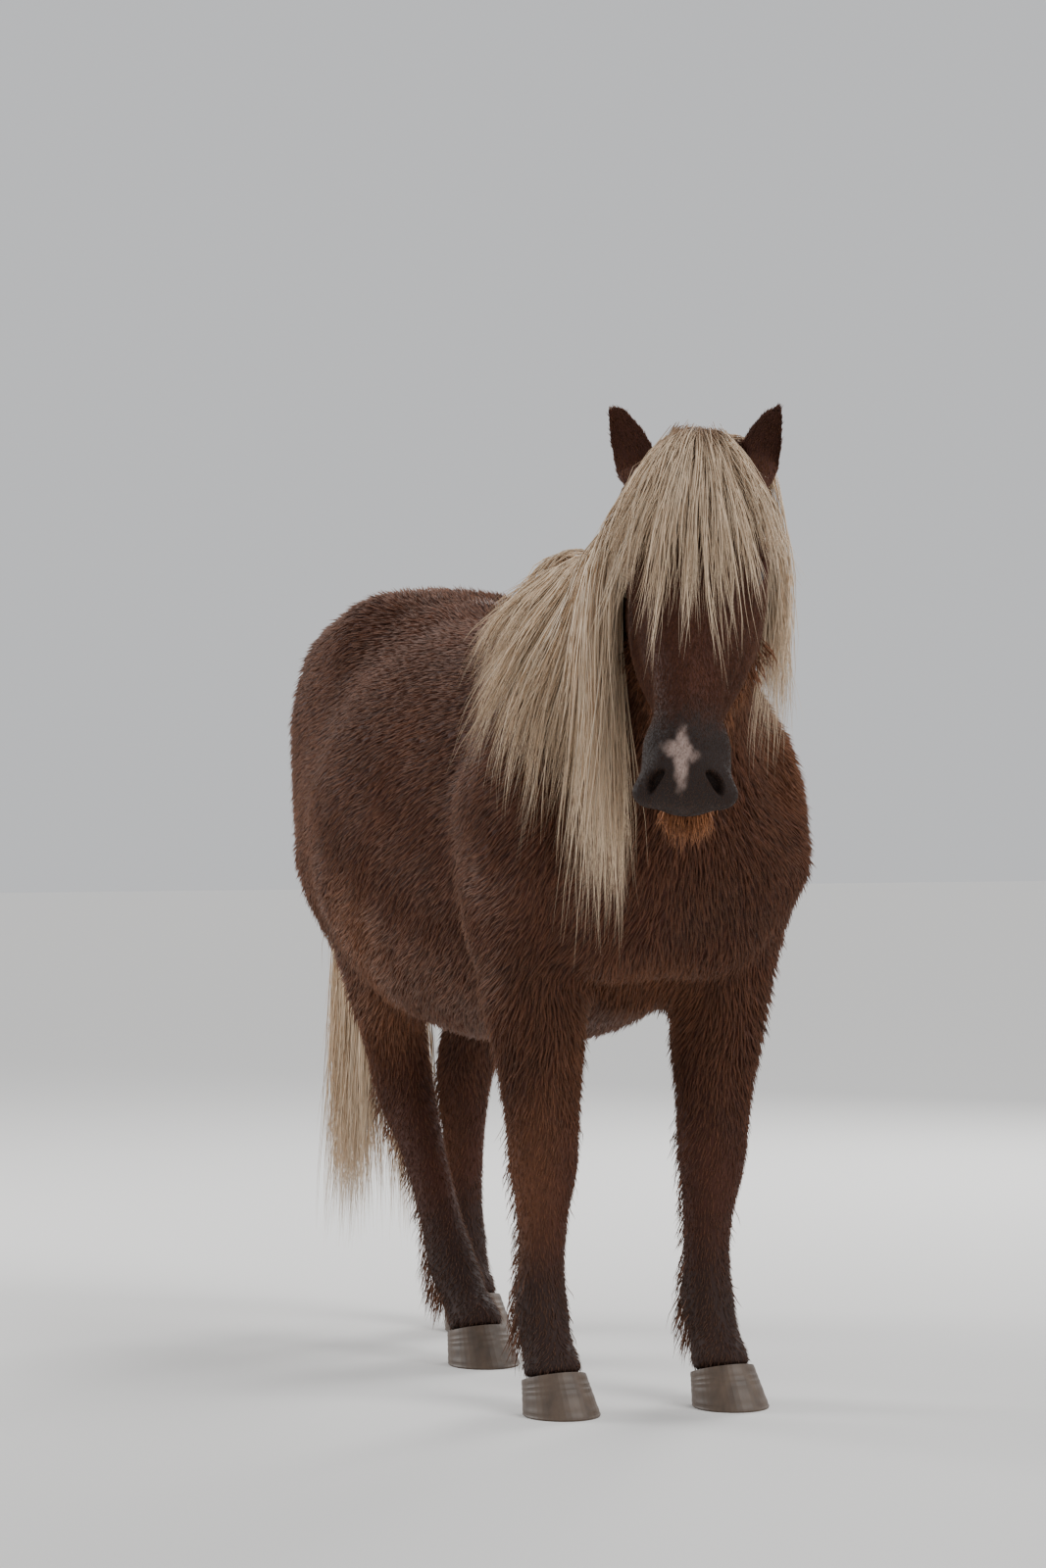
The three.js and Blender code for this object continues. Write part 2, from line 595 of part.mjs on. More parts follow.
for (let i = 0; i < FORELOCK_LOCKS; i++) {
  const t = 2 * spread(i, FORELOCK_LOCKS) - 1;
  const middle = 1 - Math.abs(t);
  const layer = i % 3;
  const root = headPoint(48 * t, -30 + 26 * layer, -40 - 6 * layer);
  const fall = mix(0.5 * t + random(-0.1, 0.1), 1, -0.3);
  const length = 210 + 170 * middle ** 0.7 + random(-40, 50);
  const line = lockLine({ root, leave: mix(0.6 * t, 0.2, 0.7), fall, length, bend: 0.4, clear: 5 + 4 * layer });
  forelock.push([line, ...LOCK.forelock]);
}
for (let i = 0; i < BEARD_LOCKS; i++) {
  const t = 2 * spread(i, BEARD_LOCKS) - 1;
  const root = headPoint(34 * t, 500 + 52 * (1 - t * t) + random(-8, 8), -122);
  const line = lockLine({ root, leave: mix(0.3 * t, 0.3, -1), fall: new THREE.Vector3(0, 0, -1),
    length: random(52, 74), bend: 0.3, clear: 2, segments: 3 });
  forelock.push([line, ...LOCK.beard]);
}
for (const [name, ear] of Object.entries(EARS)) {
  const axis = mix(...ear.axis);
  const face = mix(ear.turn, 0.25, 1);
  const across = new THREE.Vector3().crossVectors(axis, face).normalize();
  const front = new THREE.Vector3().crossVectors(across, axis).normalize();
  const base = headPoint(...ear.base);
  const outer = leaf(base, [across, axis, front], EAR_LENGTH + 12, EAR_HALF_WIDTH, 0, 1, 1, 0);
  const inner = leaf(base, [across, axis, front], EAR_LENGTH + 12, EAR_HALF_WIDTH, 0.2, 0.93, 0.78, 0.34);
  const spare = leaf(base, [across, axis, front], EAR_LENGTH + 12, EAR_HALF_WIDTH + GAP * 2, 0, 1, 1, 0);
  cups.push({ spare });
  let cup = outer.subtract(inner);
  cup = trim(cup, THROAT.normal, off(THROAT, GAP / 2));
  addNode(`ear_${name}`, cup, 'coat');
}

// Eyes: glossy balls set under the brow, seen through the opening of the lids
for (const [name, eye] of Object.entries(EYES)) {
  const out = mix(eye.side * 0.93, 0.1, 0.3);
  const along = mix(0, 1, -0.12);
  const over = new THREE.Vector3().crossVectors(out, along).normalize();
  const axes = [along, over, new THREE.Vector3().crossVectors(along, over).normalize()];
  const opening = ball(eye.centre.clone().addScaledVector(out, EYE_RADIUS * 0.9), axes, [20, 12.5, 16], 12);
  head = head.subtract(ball(eye.centre, axes, [EYE_RADIUS + GAP, EYE_RADIUS + GAP, EYE_RADIUS + GAP], 12));
  head = head.subtract(opening);
  addNode(`eye_${name}`, ball(eye.centre, axes, [EYE_RADIUS, EYE_RADIUS, EYE_RADIUS], 12), 'eye');
}

// Nostrils and mouth
for (const side of [1, -1]) {
  const axes = [mix(side * 0.9, 0.3, 0.2), mix(-side * 0.35, 0.8, -0.3), mix(0, 0.3, 1)];
  axes[1] = new THREE.Vector3().crossVectors(axes[2], axes[0]).normalize();
  axes[2] = new THREE.Vector3().crossVectors(axes[0], axes[1]).normalize();
  head = head.subtract(ball(headPoint(side * 50, 560, -62), axes, [22, 12, 9], 10));
}
head = head.subtract(ball(headPoint(0, 560, -102), [U, S, W], [72, 90, 3], 12));
head = join([head, ...forelock.map(([line, wide, thick]) => lockSolid(line, wide, thick))]);
for (const { spare } of cups) head = head.subtract(spare);
addNode('head', head, 'coat');

// Mane: it parts along the crest, thick on the right and thinner on the left
const crest = smoothPath([[-2, -380, 1372], [-22, -526, 1394], [-45, -648, 1456], [-66, -770, 1516],
  [-88, -846, 1540]], 8).map((p) => new THREE.Vector3(...p));
const crestAt = (t) => crest[Math.min(Math.round(t * (crest.length - 1)), crest.length - 1)].clone();
const mane = [];
for (const [side, count] of [[-1, MANE_LOCKS_RIGHT], [1, MANE_LOCKS_LEFT]]) {
  for (let i = 0; i < count; i++) {
    const t = side < 0 ? spread(i, count) : 0.35 + 0.65 * spread(i, count);
    const root = crestAt(t).add(new THREE.Vector3(side * random(4, 26), 0, -12));
    const length = side < 0 ? 290 + 520 * t ** 0.8 + random(-90, 40) : 320 + 230 * t + random(-60, 20);
    const line = lockLine({ root, leave: new THREE.Vector3(side, random(-0.15, 0.15), 0.35),
      fall: new THREE.Vector3(0, side < 0 ? random(0.02, 0.2) * (1 - t) : 0.06, -1), length,
      clear: 15 + 9 * (i % 3), bend: 0.3 });
    mane.push([line, ...LOCK.mane]);
  }
}
neck = join([neck, ...mane.map(([line, wide, thick]) => lockSolid(line, wide, thick))]);
neck = neck.subtract(join(forelock.map(([line, wide, thick]) => lockSolid(line, wide, thick, 0.8))));
neck = neck.subtract(trim(net({ frame: headFrame, low: [-120, -160, -330], high: [640, 160, 70],
  cell: [30, 22, 22], grow: 1.2 }), THROAT.normal, off(THROAT, GAP / 2)));
neck = neck.subtract(trim(torsoSpace, flipped(NECK_BASE), off(NECK_BASE, -GAP / 2)));
for (const { spare } of cups) neck = neck.subtract(spare);
addNode('neck', neck, 'coat');
addNode('torso', torso, 'coat');

// Tail: a short dock whose hair hangs in long locks
const dock = [];
form([[0, 560, 1200, 40, 40], [0, 640, 1172, 42, 42], [0, 690, 1085, 46, 42], [0, 710, 950, 40, 32],
  [2, 716, 760, 34, 26], [6, 716, 560, 26, 18]], { steps: 4, into: dock });
const brush = [net({ low: [-70, 490, 500], high: [80, 790, 1270], cell: [24, 24, 44], shapes: dock })];
for (let i = 0; i < TAIL_LOCKS; i++) {
  const turn = 2 * Math.PI * spread(i, TAIL_LOCKS);
  const drop = random(0, 1);
  const round = new THREE.Vector3(Math.sin(turn), Math.cos(turn) * 0.7, 0);
  const root = new THREE.Vector3(4, 702, DOCK_TOP - 330 * drop).addScaledVector(round, 24);
  const length = root.z - TAIL_END - random(0, 150) * Math.abs(Math.cos(turn));
  const fall = new THREE.Vector3(0.05 * round.x + 0.012, 0.03 * round.y, -1).normalize();
  const leave = round.clone().setZ(-1.2);
  const line = lockLine({ root, leave, fall, length, bend: 0.34, clear: 4, shapes: dock });
  brush.push(lockSolid(line, ...LOCK.tail));
}
let tail = join(brush);
tail = tail.subtract(torsoSpace);
addNode('tail', tail, 'hair');

// The origin is the middle of the box's foot
const box = new THREE.Box3().setFromObject(horse);
for (const mesh of horse.children) {
  mesh.geometry.translate(-(box.min.x + box.max.x) / 2, -(box.min.y + box.max.y) / 2, -box.min.z);
}

export default horse;
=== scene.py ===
"""An Icelandic horse in its winter coat, halted in mid-walk, on a pale studio floor."""
import math

import bmesh
import bpy
import numpy as np
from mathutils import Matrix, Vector, kdtree


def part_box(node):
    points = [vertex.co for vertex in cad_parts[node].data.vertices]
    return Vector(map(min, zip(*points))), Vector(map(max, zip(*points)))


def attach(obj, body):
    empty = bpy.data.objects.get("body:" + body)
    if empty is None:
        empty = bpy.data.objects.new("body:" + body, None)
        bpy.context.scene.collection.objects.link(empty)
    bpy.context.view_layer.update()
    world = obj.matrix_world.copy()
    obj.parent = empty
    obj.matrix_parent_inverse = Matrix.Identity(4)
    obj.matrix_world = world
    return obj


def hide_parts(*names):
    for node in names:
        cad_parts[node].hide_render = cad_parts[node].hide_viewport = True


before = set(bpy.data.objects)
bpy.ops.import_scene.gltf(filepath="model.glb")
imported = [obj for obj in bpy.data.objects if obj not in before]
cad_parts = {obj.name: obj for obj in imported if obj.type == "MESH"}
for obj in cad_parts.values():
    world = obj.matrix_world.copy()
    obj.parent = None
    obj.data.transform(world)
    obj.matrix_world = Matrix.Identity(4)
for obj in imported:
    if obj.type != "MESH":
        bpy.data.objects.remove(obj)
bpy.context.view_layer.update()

# Placing
# The horse is built in its own frame: x to its left, y to its rear, z up, all in metres.
# The left fore hoof of the model gives the shift from that frame to the shared one.
HOOF_SIDE = 0.144
TOE_FRONT = -0.577
hoof_low, hoof_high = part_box("hoof_fore_left")
SHIFT = np.array([(hoof_low[0] + hoof_high[0]) / 2 - HOOF_SIDE, hoof_low[1] - TOE_FRONT, 0.0])

# Head placing
# The head is carried high, turned to the horse's right, its face steep.
# Its own axes are across to the left, down the face, and out of the forehead.
HEAD_YAW = math.radians(28)
HEAD_PITCH = math.radians(69)
HEAD_ROLL = math.radians(-1.5)
POLL = np.array([-0.105, -0.885, 1.545])
forward = np.array([-math.sin(HEAD_YAW), -math.cos(HEAD_YAW), 0.0])
upward = np.array([0.0, 0.0, 1.0])


def rolled(vector):
    turned = np.cross(forward, vector) * math.sin(HEAD_ROLL)
    kept = forward * forward.dot(vector) * (1 - math.cos(HEAD_ROLL))
    return vector * math.cos(HEAD_ROLL) + turned + kept


ACROSS = rolled(np.array([math.cos(HEAD_YAW), -math.sin(HEAD_YAW), 0.0]))
DOWN_FACE = rolled(forward * math.cos(HEAD_PITCH) - upward * math.sin(HEAD_PITCH))
OUT_OF_FACE = rolled(forward * math.sin(HEAD_PITCH) + upward * math.cos(HEAD_PITCH))


def head_point(across, down, out):
    return POLL + ACROSS * across + DOWN_FACE * down + OUT_OF_FACE * out


def head_direction(across, down, out):
    vector = ACROSS * across + DOWN_FACE * down + OUT_OF_FACE * out
    return vector / np.linalg.norm(vector)


# Shape of the body
# Flesh is blended from chains of oval beads that follow bone and muscle, in metres.
# A station of a chain is x, y, z, half across and half deep.
forms = []


def smooth_path(stations, steps):
    """A curve through every station, with this many points from each to the next."""
    rows = np.array(stations, float)
    rows = np.vstack([2 * rows[0] - rows[1], rows, 2 * rows[-1] - rows[-2]])
    path = []
    for a, b, c, d in zip(rows, rows[1:], rows[2:], rows[3:]):
        for t in np.arange(steps) / steps:
            path.append(0.5 * (2 * b + (c - a) * t + (2 * a - 5 * b + 4 * c - d) * t ** 2
                               + (3 * b - a - 3 * c + d) * t ** 3))
    return np.array(path + [rows[-2]])


def form(stations, blend=0.04, across=(1, 0, 0), steps=4, cap=0.0, into=forms):
    """Keep a chain of beads; cap is the length of its rounded ends, where they have their own."""
    path = smooth_path(stations, steps)
    reach = path[:, 3:5].max() + max(blend, 0.06) + cap
    into.append({"path": path, "blend": blend, "across": np.array(across, float), "cap": cap,
                 "low": path[:, :3].min(0) - reach, "high": path[:, :3].max(0) + reach})


def pair(stations, **options):
    form(stations, **options)
    form([(-x, *rest) for x, *rest in stations], **options)


def in_head(stations, blend=0.03, across=ACROSS, **options):
    form([(*head_point(*row[:3]), *row[3:]) for row in stations], blend=blend, across=across, **options)


def form_distance(shape, points):
    """Distance of each point from a chain of beads, true near its surface, below zero inside."""
    nearest = np.full(len(points), 9.0, np.float32)
    for start, stop in zip(shape["path"], shape["path"][1:]):
        along = stop[:3] - start[:3]
        length = np.linalg.norm(along)
        along /= length
        cross = shape["across"] - along * shape["across"].dot(along)
        cross /= np.linalg.norm(cross)
        axes = np.stack([cross, np.cross(along, cross), along]).astype(np.float32)
        local = (points - start[:3].astype(np.float32)) @ axes.T
        share = np.clip(local[:, 2] / length, 0, 1)
        local[:, 2] -= share * length
        wide = start[3] + (stop[3] - start[3]) * share
        deep = start[4] + (stop[4] - start[4]) * share
        end = np.full_like(share, shape["cap"]) if shape["cap"] else np.minimum(wide, deep)
        radii = np.stack([wide, deep, end], 1)
        scaled = local / radii
        reach = np.sqrt((scaled ** 2).sum(1))
        steepness = np.sqrt(((scaled / radii) ** 2).sum(1)) + 1e-6
        nearest = np.minimum(nearest, reach * (reach - 1) / steepness)
    return nearest


def field(points, shapes=forms):
    """Distance from all the forms, melted together where they come within their blend."""
    points = np.asarray(points, np.float32)
    value = np.full(len(points), 0.3, np.float32)
    for shape in shapes:
        near = np.flatnonzero(((points > shape["low"]) & (points < shape["high"])).all(1))
        if not len(near):
            continue
        distance = form_distance(shape, points[near])
        ease = np.maximum(shape["blend"] - np.abs(value[near] - distance), 0) / shape["blend"]
        value[near] = np.minimum(value[near], distance) - ease ** 2 * shape["blend"] / 4
    return value


def slope(points, measure=field, step=0.0015):
    """The measure at each point, and the direction and rate in which it grows there."""
    here = measure(points)
    moved = [measure(points + step * axis) - here for axis in np.eye(3)]
    return here, np.stack(moved, 1) / step


def unit(vectors):
    return vectors / (np.linalg.norm(vectors, axis=-1, keepdims=True) + 1e-9)


def ramp(value, low, high):
    """Nought below low, one above high, and an even rise between."""
    t = np.clip((value - low) / (high - low), 0, 1)
    return t * t * (3 - 2 * t)


# Trunk
# A round barrel of ribs and muscle, fat with winter feed, hung between the shoulders and quarters.
# Shoulder blades, upper forelegs, breast, croup, thighs and buttocks lie on it in pairs.
BARREL = [(0, -0.59, 0.94, 0.13, 0.16), (0, -0.53, 0.965, 0.18, 0.245), (0, -0.40, 0.99, 0.225, 0.34),
          (0, -0.23, 0.965, 0.28, 0.362), (0, -0.03, 0.945, 0.325, 0.375), (0, 0.14, 0.955, 0.335, 0.375),
          (0, 0.29, 1.01, 0.295, 0.365), (0, 0.43, 1.07, 0.25, 0.325), (0, 0.54, 1.075, 0.20, 0.258)]
BELLY = [(0, -0.15, 0.86, 0.255, 0.25), (0, 0.15, 0.86, 0.27, 0.25)]
WITHERS = [(0, -0.56, 1.27, 0.055, 0.08), (0, -0.42, 1.295, 0.06, 0.08), (0, -0.24, 1.275, 0.06, 0.07)]
SHOULDER = [(0.11, -0.35, 1.20, 0.08, 0.11), (0.18, -0.45, 1.04, 0.095, 0.14),
            (0.19, -0.50, 0.89, 0.095, 0.12)]
UPPER_FORELEG = [(0.195, -0.40, 0.98, 0.085, 0.13), (0.185, -0.41, 0.80, 0.085, 0.115)]
BREAST = [(0.08, -0.58, 0.90, 0.095, 0.09), (0.09, -0.55, 0.79, 0.08, 0.085)]
CROUP = [(0.115, 0.33, 1.22, 0.12, 0.15), (0.13, 0.46, 1.18, 0.11, 0.15)]
THIGH = [(0.165, 0.38, 1.12, 0.09, 0.185), (0.17, 0.35, 0.96, 0.088, 0.175), (0.18, 0.32, 0.85, 0.075, 0.14)]
BUTTOCK = [(0.105, 0.53, 1.12, 0.10, 0.108), (0.125, 0.51, 0.96, 0.092, 0.108)]
MUSCLE_BLEND = 0.06
BREAST_BLEND = 0.12
form(BARREL, steps=6, cap=0.11)
form(BELLY, blend=MUSCLE_BLEND, cap=0.22)
form(WITHERS, blend=MUSCLE_BLEND)
pair(SHOULDER, blend=MUSCLE_BLEND)
pair(UPPER_FORELEG, blend=MUSCLE_BLEND)
pair(BREAST, blend=BREAST_BLEND)
pair(CROUP, blend=MUSCLE_BLEND)
pair(THIGH, blend=MUSCLE_BLEND)
pair(BUTTOCK, blend=MUSCLE_BLEND)

# Legs
# Short, strong legs of bone and tendon, muscled above, wide at knee and hock and narrow at the cannon.
# Each is given from the top down as it would stand square, then leaned to where its foot stands.
FORE = [(0.180, -0.420, 0.880, 0.095, 0.130), (0.172, -0.430, 0.750, 0.092, 0.115),
        (0.160, -0.440, 0.620, 0.080, 0.088), (0.152, -0.447, 0.500, 0.066, 0.068),
        (0.148, -0.452, 0.405, 0.060, 0.060), (0.146, -0.450, 0.350, 0.050, 0.052),
        (0.144, -0.446, 0.290, 0.042, 0.046), (0.144, -0.446, 0.220, 0.041, 0.046),
        (0.144, -0.450, 0.165, 0.046, 0.052), (0.144, -0.478, 0.105, 0.044, 0.046),
        (0.144, -0.500, 0.066, 0.050, 0.056)]
HIND = [(0.185, 0.350, 0.900, 0.085, 0.150), (0.175, 0.380, 0.780, 0.078, 0.120),
        (0.160, 0.440, 0.660, 0.072, 0.098), (0.145, 0.495, 0.560, 0.058, 0.076),
        (0.140, 0.520, 0.480, 0.054, 0.072), (0.138, 0.510, 0.410, 0.046, 0.057),
        (0.137, 0.500, 0.330, 0.040, 0.046), (0.137, 0.490, 0.230, 0.039, 0.045),
        (0.137, 0.480, 0.165, 0.045, 0.051), (0.137, 0.452, 0.105, 0.043, 0.045),
        (0.137, 0.430, 0.066, 0.050, 0.056)]
STANCE = {"fore_left": (FORE, 1, 0.0, 0.025), "fore_right": (FORE, -1, 0.0, 0.060),
          "hind_left": (HIND, 1, -0.030, 0.050), "hind_right": (HIND, -1, -0.090, -0.330)}
LEAN_CURVE = 0.85
feet = {}
leg_lines = {}
for leg, (rows, side, aside, back) in STANCE.items():
    top, bottom = rows[0][2], rows[-1][2]
    stations = []
    for x, y, z, wide, deep in rows:
        lean = ((top - z) / (top - bottom)) ** LEAN_CURVE
        stations.append((side * (x + aside * lean), y + back * lean, z, wide, deep))
    form(stations, blend=0.045)
    feet[leg] = stations[-1]
    leg_lines[leg] = stations

# Neck
# A short, thick neck, deep where it springs from the shoulders and narrow behind the jaws.
# It is carried up and bent a little to the right, and its crest carries the mane.
NECK = [(0, -0.38, 1.09, 0.19, 0.25), (-0.005, -0.52, 1.15, 0.155, 0.24), (-0.022, -0.65, 1.25, 0.125, 0.20),
        (-0.045, -0.76, 1.34, 0.108, 0.17), (-0.068, -0.86, 1.42, 0.095, 0.14)]
NECK_ACROSS = (0.97, -0.24, 0)
form(NECK, blend=0.07, across=NECK_ACROSS)

# Head
# A long bony face under thin skin, with deep jaws, a soft square muzzle and a small chin.
# Each form has its blend first, and its stations are across, down and out in the head's own axes.
EYE_RADIUS = 0.024
HEAD_FORMS = {
    "skull": (0.03, [(0, 0.03, -0.085, 0.080, 0.080), (0, 0.15, -0.085, 0.092, 0.082)]),
    "face": (0.03, [(0, 0.15, -0.080, 0.092, 0.080), (0, 0.25, -0.078, 0.078, 0.072),
                    (0, 0.38, -0.066, 0.056, 0.058), (0, 0.48, -0.060, 0.050, 0.054)]),
    "jaws": (0.03, [(0, 0.11, -0.165, 0.085, 0.095), (0, 0.21, -0.165, 0.104, 0.105),
                    (0, 0.30, -0.150, 0.092, 0.085), (0, 0.38, -0.135, 0.060, 0.055)]),
    "bars": (0.025, [(0, 0.29, -0.150, 0.060, 0.045), (0, 0.40, -0.120, 0.044, 0.040),
                     (0, 0.50, -0.112, 0.038, 0.034)]),
    "muzzle": (0.025, [(0, 0.49, -0.062, 0.066, 0.056), (0, 0.532, -0.068, 0.069, 0.056)]),
    "chin": (0.014, [(0, 0.505, -0.118, 0.038, 0.028), (0, 0.54, -0.120, 0.042, 0.027)])}
for blend, stations in HEAD_FORMS.values():
    in_head(stations, blend)
eyes = {}
for name, side in (("left", 1), ("right", -1)):
    brow = [(side * 0.074, 0.150, -0.050, 0.024, 0.026), (side * 0.083, 0.200, -0.052, 0.021, 0.021)]
    bulge = [(side * 0.080, 0.188, -0.074, 0.028, 0.028), (side * 0.080, 0.196, -0.074, 0.028, 0.028)]
    cheekbone = [(side * 0.076, 0.230, -0.100, 0.010, 0.010), (side * 0.056, 0.340, -0.086, 0.008, 0.008)]
    in_head(brow)
    in_head(bulge, blend=0.014)
    in_head(cheekbone)
    eyes[name] = (head_point(side * 0.081, 0.192, -0.074), side)

# Rims of eyes and nostrils
# Each eye lies in an almond opening, longer than it is high, between two soft rolls of lid.
# The nostrils flare at the sides of the muzzle, on wings of gristle under thin skin.
LID_REACH = 0.0195
LID_RISE = {1: 0.0135, -1: 0.0105}
LID_ROLL = 0.0032
LID_PROUD = 0.0018
eye_frames = {}
for name, (centre, side) in eyes.items():
    outward = head_direction(side * 0.93, 0.10, 0.30)
    along = head_direction(0, 1, -0.12)
    over = np.cross(along, outward) * side
    over /= np.linalg.norm(over)
    along = np.cross(outward, over) * side
    eye_frames[name] = (centre, along, over, outward)
    for half in (1, -1):
        rim = []
        for angle in np.linspace(0, math.pi, 7):
            x = LID_REACH * math.cos(angle)
            y = half * LID_RISE[half] * math.sin(angle)
            spot = along * x + over * y + outward * math.sqrt(EYE_RADIUS ** 2 - x * x - y * y)
            rim.append((*(centre + spot * (1 + LID_PROUD / EYE_RADIUS)), LID_ROLL, LID_ROLL))
        form(rim, blend=0.006, across=outward, steps=3)
for side in (1, -1):
    in_head([(side * 0.030, 0.528, -0.034, 0.019, 0.016), (side * 0.058, 0.560, -0.060, 0.022, 0.019)],
            blend=0.02)

# Ears
# Two leaves of gristle under short fur stand on the sides of the poll, tips turned a little in.
# They are thick here, and their fronts are hollowed into cups later, on the mesh.
EAR_LENGTH = 0.143
EAR_HALF = 0.036
EAR_BEND = 0.16
EARS = {"left": ((0.086, 0.040, -0.092), (0.27, -0.72, 0.62), 0.35),
        "right": ((-0.086, 0.040, -0.092), (-0.36, -0.80, 0.40), -0.35)}
ear_frames = {}


def ear_bow(t):
    return -EAR_BEND * EAR_LENGTH * np.sin(math.pi * t)


for name, (base, lean, turn) in EARS.items():
    axis = head_direction(*lean)
    facing = head_direction(turn, 0.25, 1.0)
    wide = np.cross(axis, facing)
    wide /= np.linalg.norm(wide)
    front = np.cross(wide, axis)
    origin = head_point(*base)
    ear_frames[name] = (origin, axis, wide, front)
    leaf = []
    for t in np.linspace(0, 0.98, 7):
        half = EAR_HALF * max(math.sin(math.pi * (0.16 + 0.84 * t) ** 0.8), 0.02) ** 0.75 * (1 - 0.25 * t)
        leaf.append((*(origin + axis * t * EAR_LENGTH + front * ear_bow(t)), half, 0.55 * half))
    form(leaf, blend=0.012, across=wide)


# Depth of the coat
# The winter coat is deepest on the trunk and neck, short on the face and thin at the muzzle.
# The skin lies this far inside the outline of the fur, and ends under each hoof's top.
TRUNK_DEPTH = 0.011
LEG_DEPTH = 0.0045
FACE_DEPTH = 0.004
MUZZLE_DEPTH = 0.0012
BARE_DEPTH = 0.0008
THROAT_NORMAL = head_direction(0, 0.4, 0.9165)
THROAT_POINT = head_point(0, -0.03, -0.11)
HOOF_TOE = 0.072
HOOF_HEEL = 0.044
HOOF_LENGTH = 0.116
CORONET = np.array([0.0, HOOF_TOE - HOOF_HEEL, HOOF_LENGTH]) / math.hypot(HOOF_TOE - HOOF_HEEL, HOOF_LENGTH)


def head_coordinates(points):
    return (points - POLL) @ np.stack([ACROSS, DOWN_FACE, OUT_OF_FACE]).T


def past_throat(points):
    return (points - THROAT_POINT) @ THROAT_NORMAL


def ear_share(points):
    share = np.zeros(len(points))
    for origin, axis, _, _ in ear_frames.values():
        local = points - origin
        t = np.clip(local @ axis, 0, EAR_LENGTH)
        away = np.linalg.norm(local - t[:, None] * axis, axis=1)
        share = np.maximum(share, ramp(-away, -0.055, -0.035) * ramp(t, 0.0, 0.03))
    return share


def coat_depth(points):
    down = head_coordinates(points)[:, 1]
    head_part = ramp(past_throat(points), -0.05, 0.05) * ramp(down, -0.12, -0.02)
    depth = LEG_DEPTH + (TRUNK_DEPTH - LEG_DEPTH) * ramp(points[:, 2], 0.30, 0.75)
    depth += (FACE_DEPTH - depth) * head_part
    depth += (MUZZLE_DEPTH - depth) * head_part * ramp(down, 0.36, 0.47)
    depth += (BARE_DEPTH - depth) * ear_share(points)
    for centre, _ in eyes.values():
        away = np.linalg.norm(points - centre, axis=1)
        depth += (BARE_DEPTH - depth) * ramp(-away, -0.055, -0.032)
    return depth


def skin_field(points):
    points = np.asarray(points, np.float32)
    value = field(points) + coat_depth(points)
    for x, y, *_ in feet.values():
        near = (abs(points[:, 0] - x) < 0.12) & (abs(points[:, 1] - y) < 0.15) & (points[:, 2] < 0.2)
        over = (points[near] - np.array([x, y - 0.056, HOOF_TOE])) @ CORONET
        value[near] = np.maximum(value[near], -over)
    return value


# Skin
# One closed hide covers head, ears, neck, trunk and legs without a seam.
# It is meshed on a grid, first coarsely to find it, then divided twice on the head so that lids and
# lips are crisp.
GRID = 0.010
BLOCK = 3
SKIN_LOW = np.array([-0.44, -1.26, 0.0])
SKIN_BLOCKS = (30, 69, 60)
NEAR_SKIN = 0.05
SMOOTHING_PASSES = 10


def grid_points(low, counts, step):
    lines = [low[n] + step * np.arange(counts[n]) for n in range(3)]
    return np.stack(np.meshgrid(*lines, indexing="ij"), -1).reshape(-1, 3)


def surface_net(values, low):
    """Closed quads round the zero level of a grid, one vertex in each cell that it crosses."""
    inside = values < 0
    shape = np.array(values.shape) - 1
    corners = [(i, j, k) for i in (0, 1) for j in (0, 1) for k in (0, 1)]
    count = sum(inside[i:i + shape[0], j:j + shape[1], k:k + shape[2]].astype(np.int8) for i, j, k in corners)
    active = (count > 0) & (count < 8)
    index = np.full(active.shape, -1)
    index[active] = np.arange(active.sum())
    cells = np.argwhere(active)
    total = np.zeros((len(cells), 3))
    crossings = np.zeros(len(cells))
    for a in corners:
        for b in corners:
            if a > b or sum(abs(a[n] - b[n]) for n in range(3)) != 1:
                continue
            start = values[tuple((cells + a).T)]
            stop = values[tuple((cells + b).T)]
            crossed = (start < 0) != (stop < 0)
            t = np.where(crossed, start / np.where(crossed, start - stop, 1), 0)
            spot = np.array(a) + (np.array(b) - np.array(a)) * t[:, None]
            total[crossed] += spot[crossed]
            crossings[crossed] += 1
    points = low + GRID * (cells + total / crossings[:, None])
    quads = []
    for axis in range(3):
        here = np.take(inside, range(0, inside.shape[axis] - 1), axis)
        ahead = np.take(inside, range(1, inside.shape[axis]), axis)
        edges = np.argwhere(here != ahead)
        facing = here[tuple(edges.T)]
        second, third = np.eye(3, dtype=int)[[(axis + 1) % 3, (axis + 2) % 3]]
        ring = [edges - second - third, edges - third, edges, edges - second]
        quad = np.stack([index[tuple(r.T)] for r in ring], 1)
        quad[~facing] = quad[~facing][:, ::-1]
        quads.append(quad)
    return points, np.vstack(quads)


def drawn_onto_skin(points, passes=3):
    """Points near the skin, moved up or down its slope until they lie on it."""
    for _ in range(passes):
        value, rise = slope(points, skin_field)
        move = np.clip(value / ((rise ** 2).sum(1) + 0.05), -0.004, 0.004)
        points = points - rise * move[:, None]
    return points


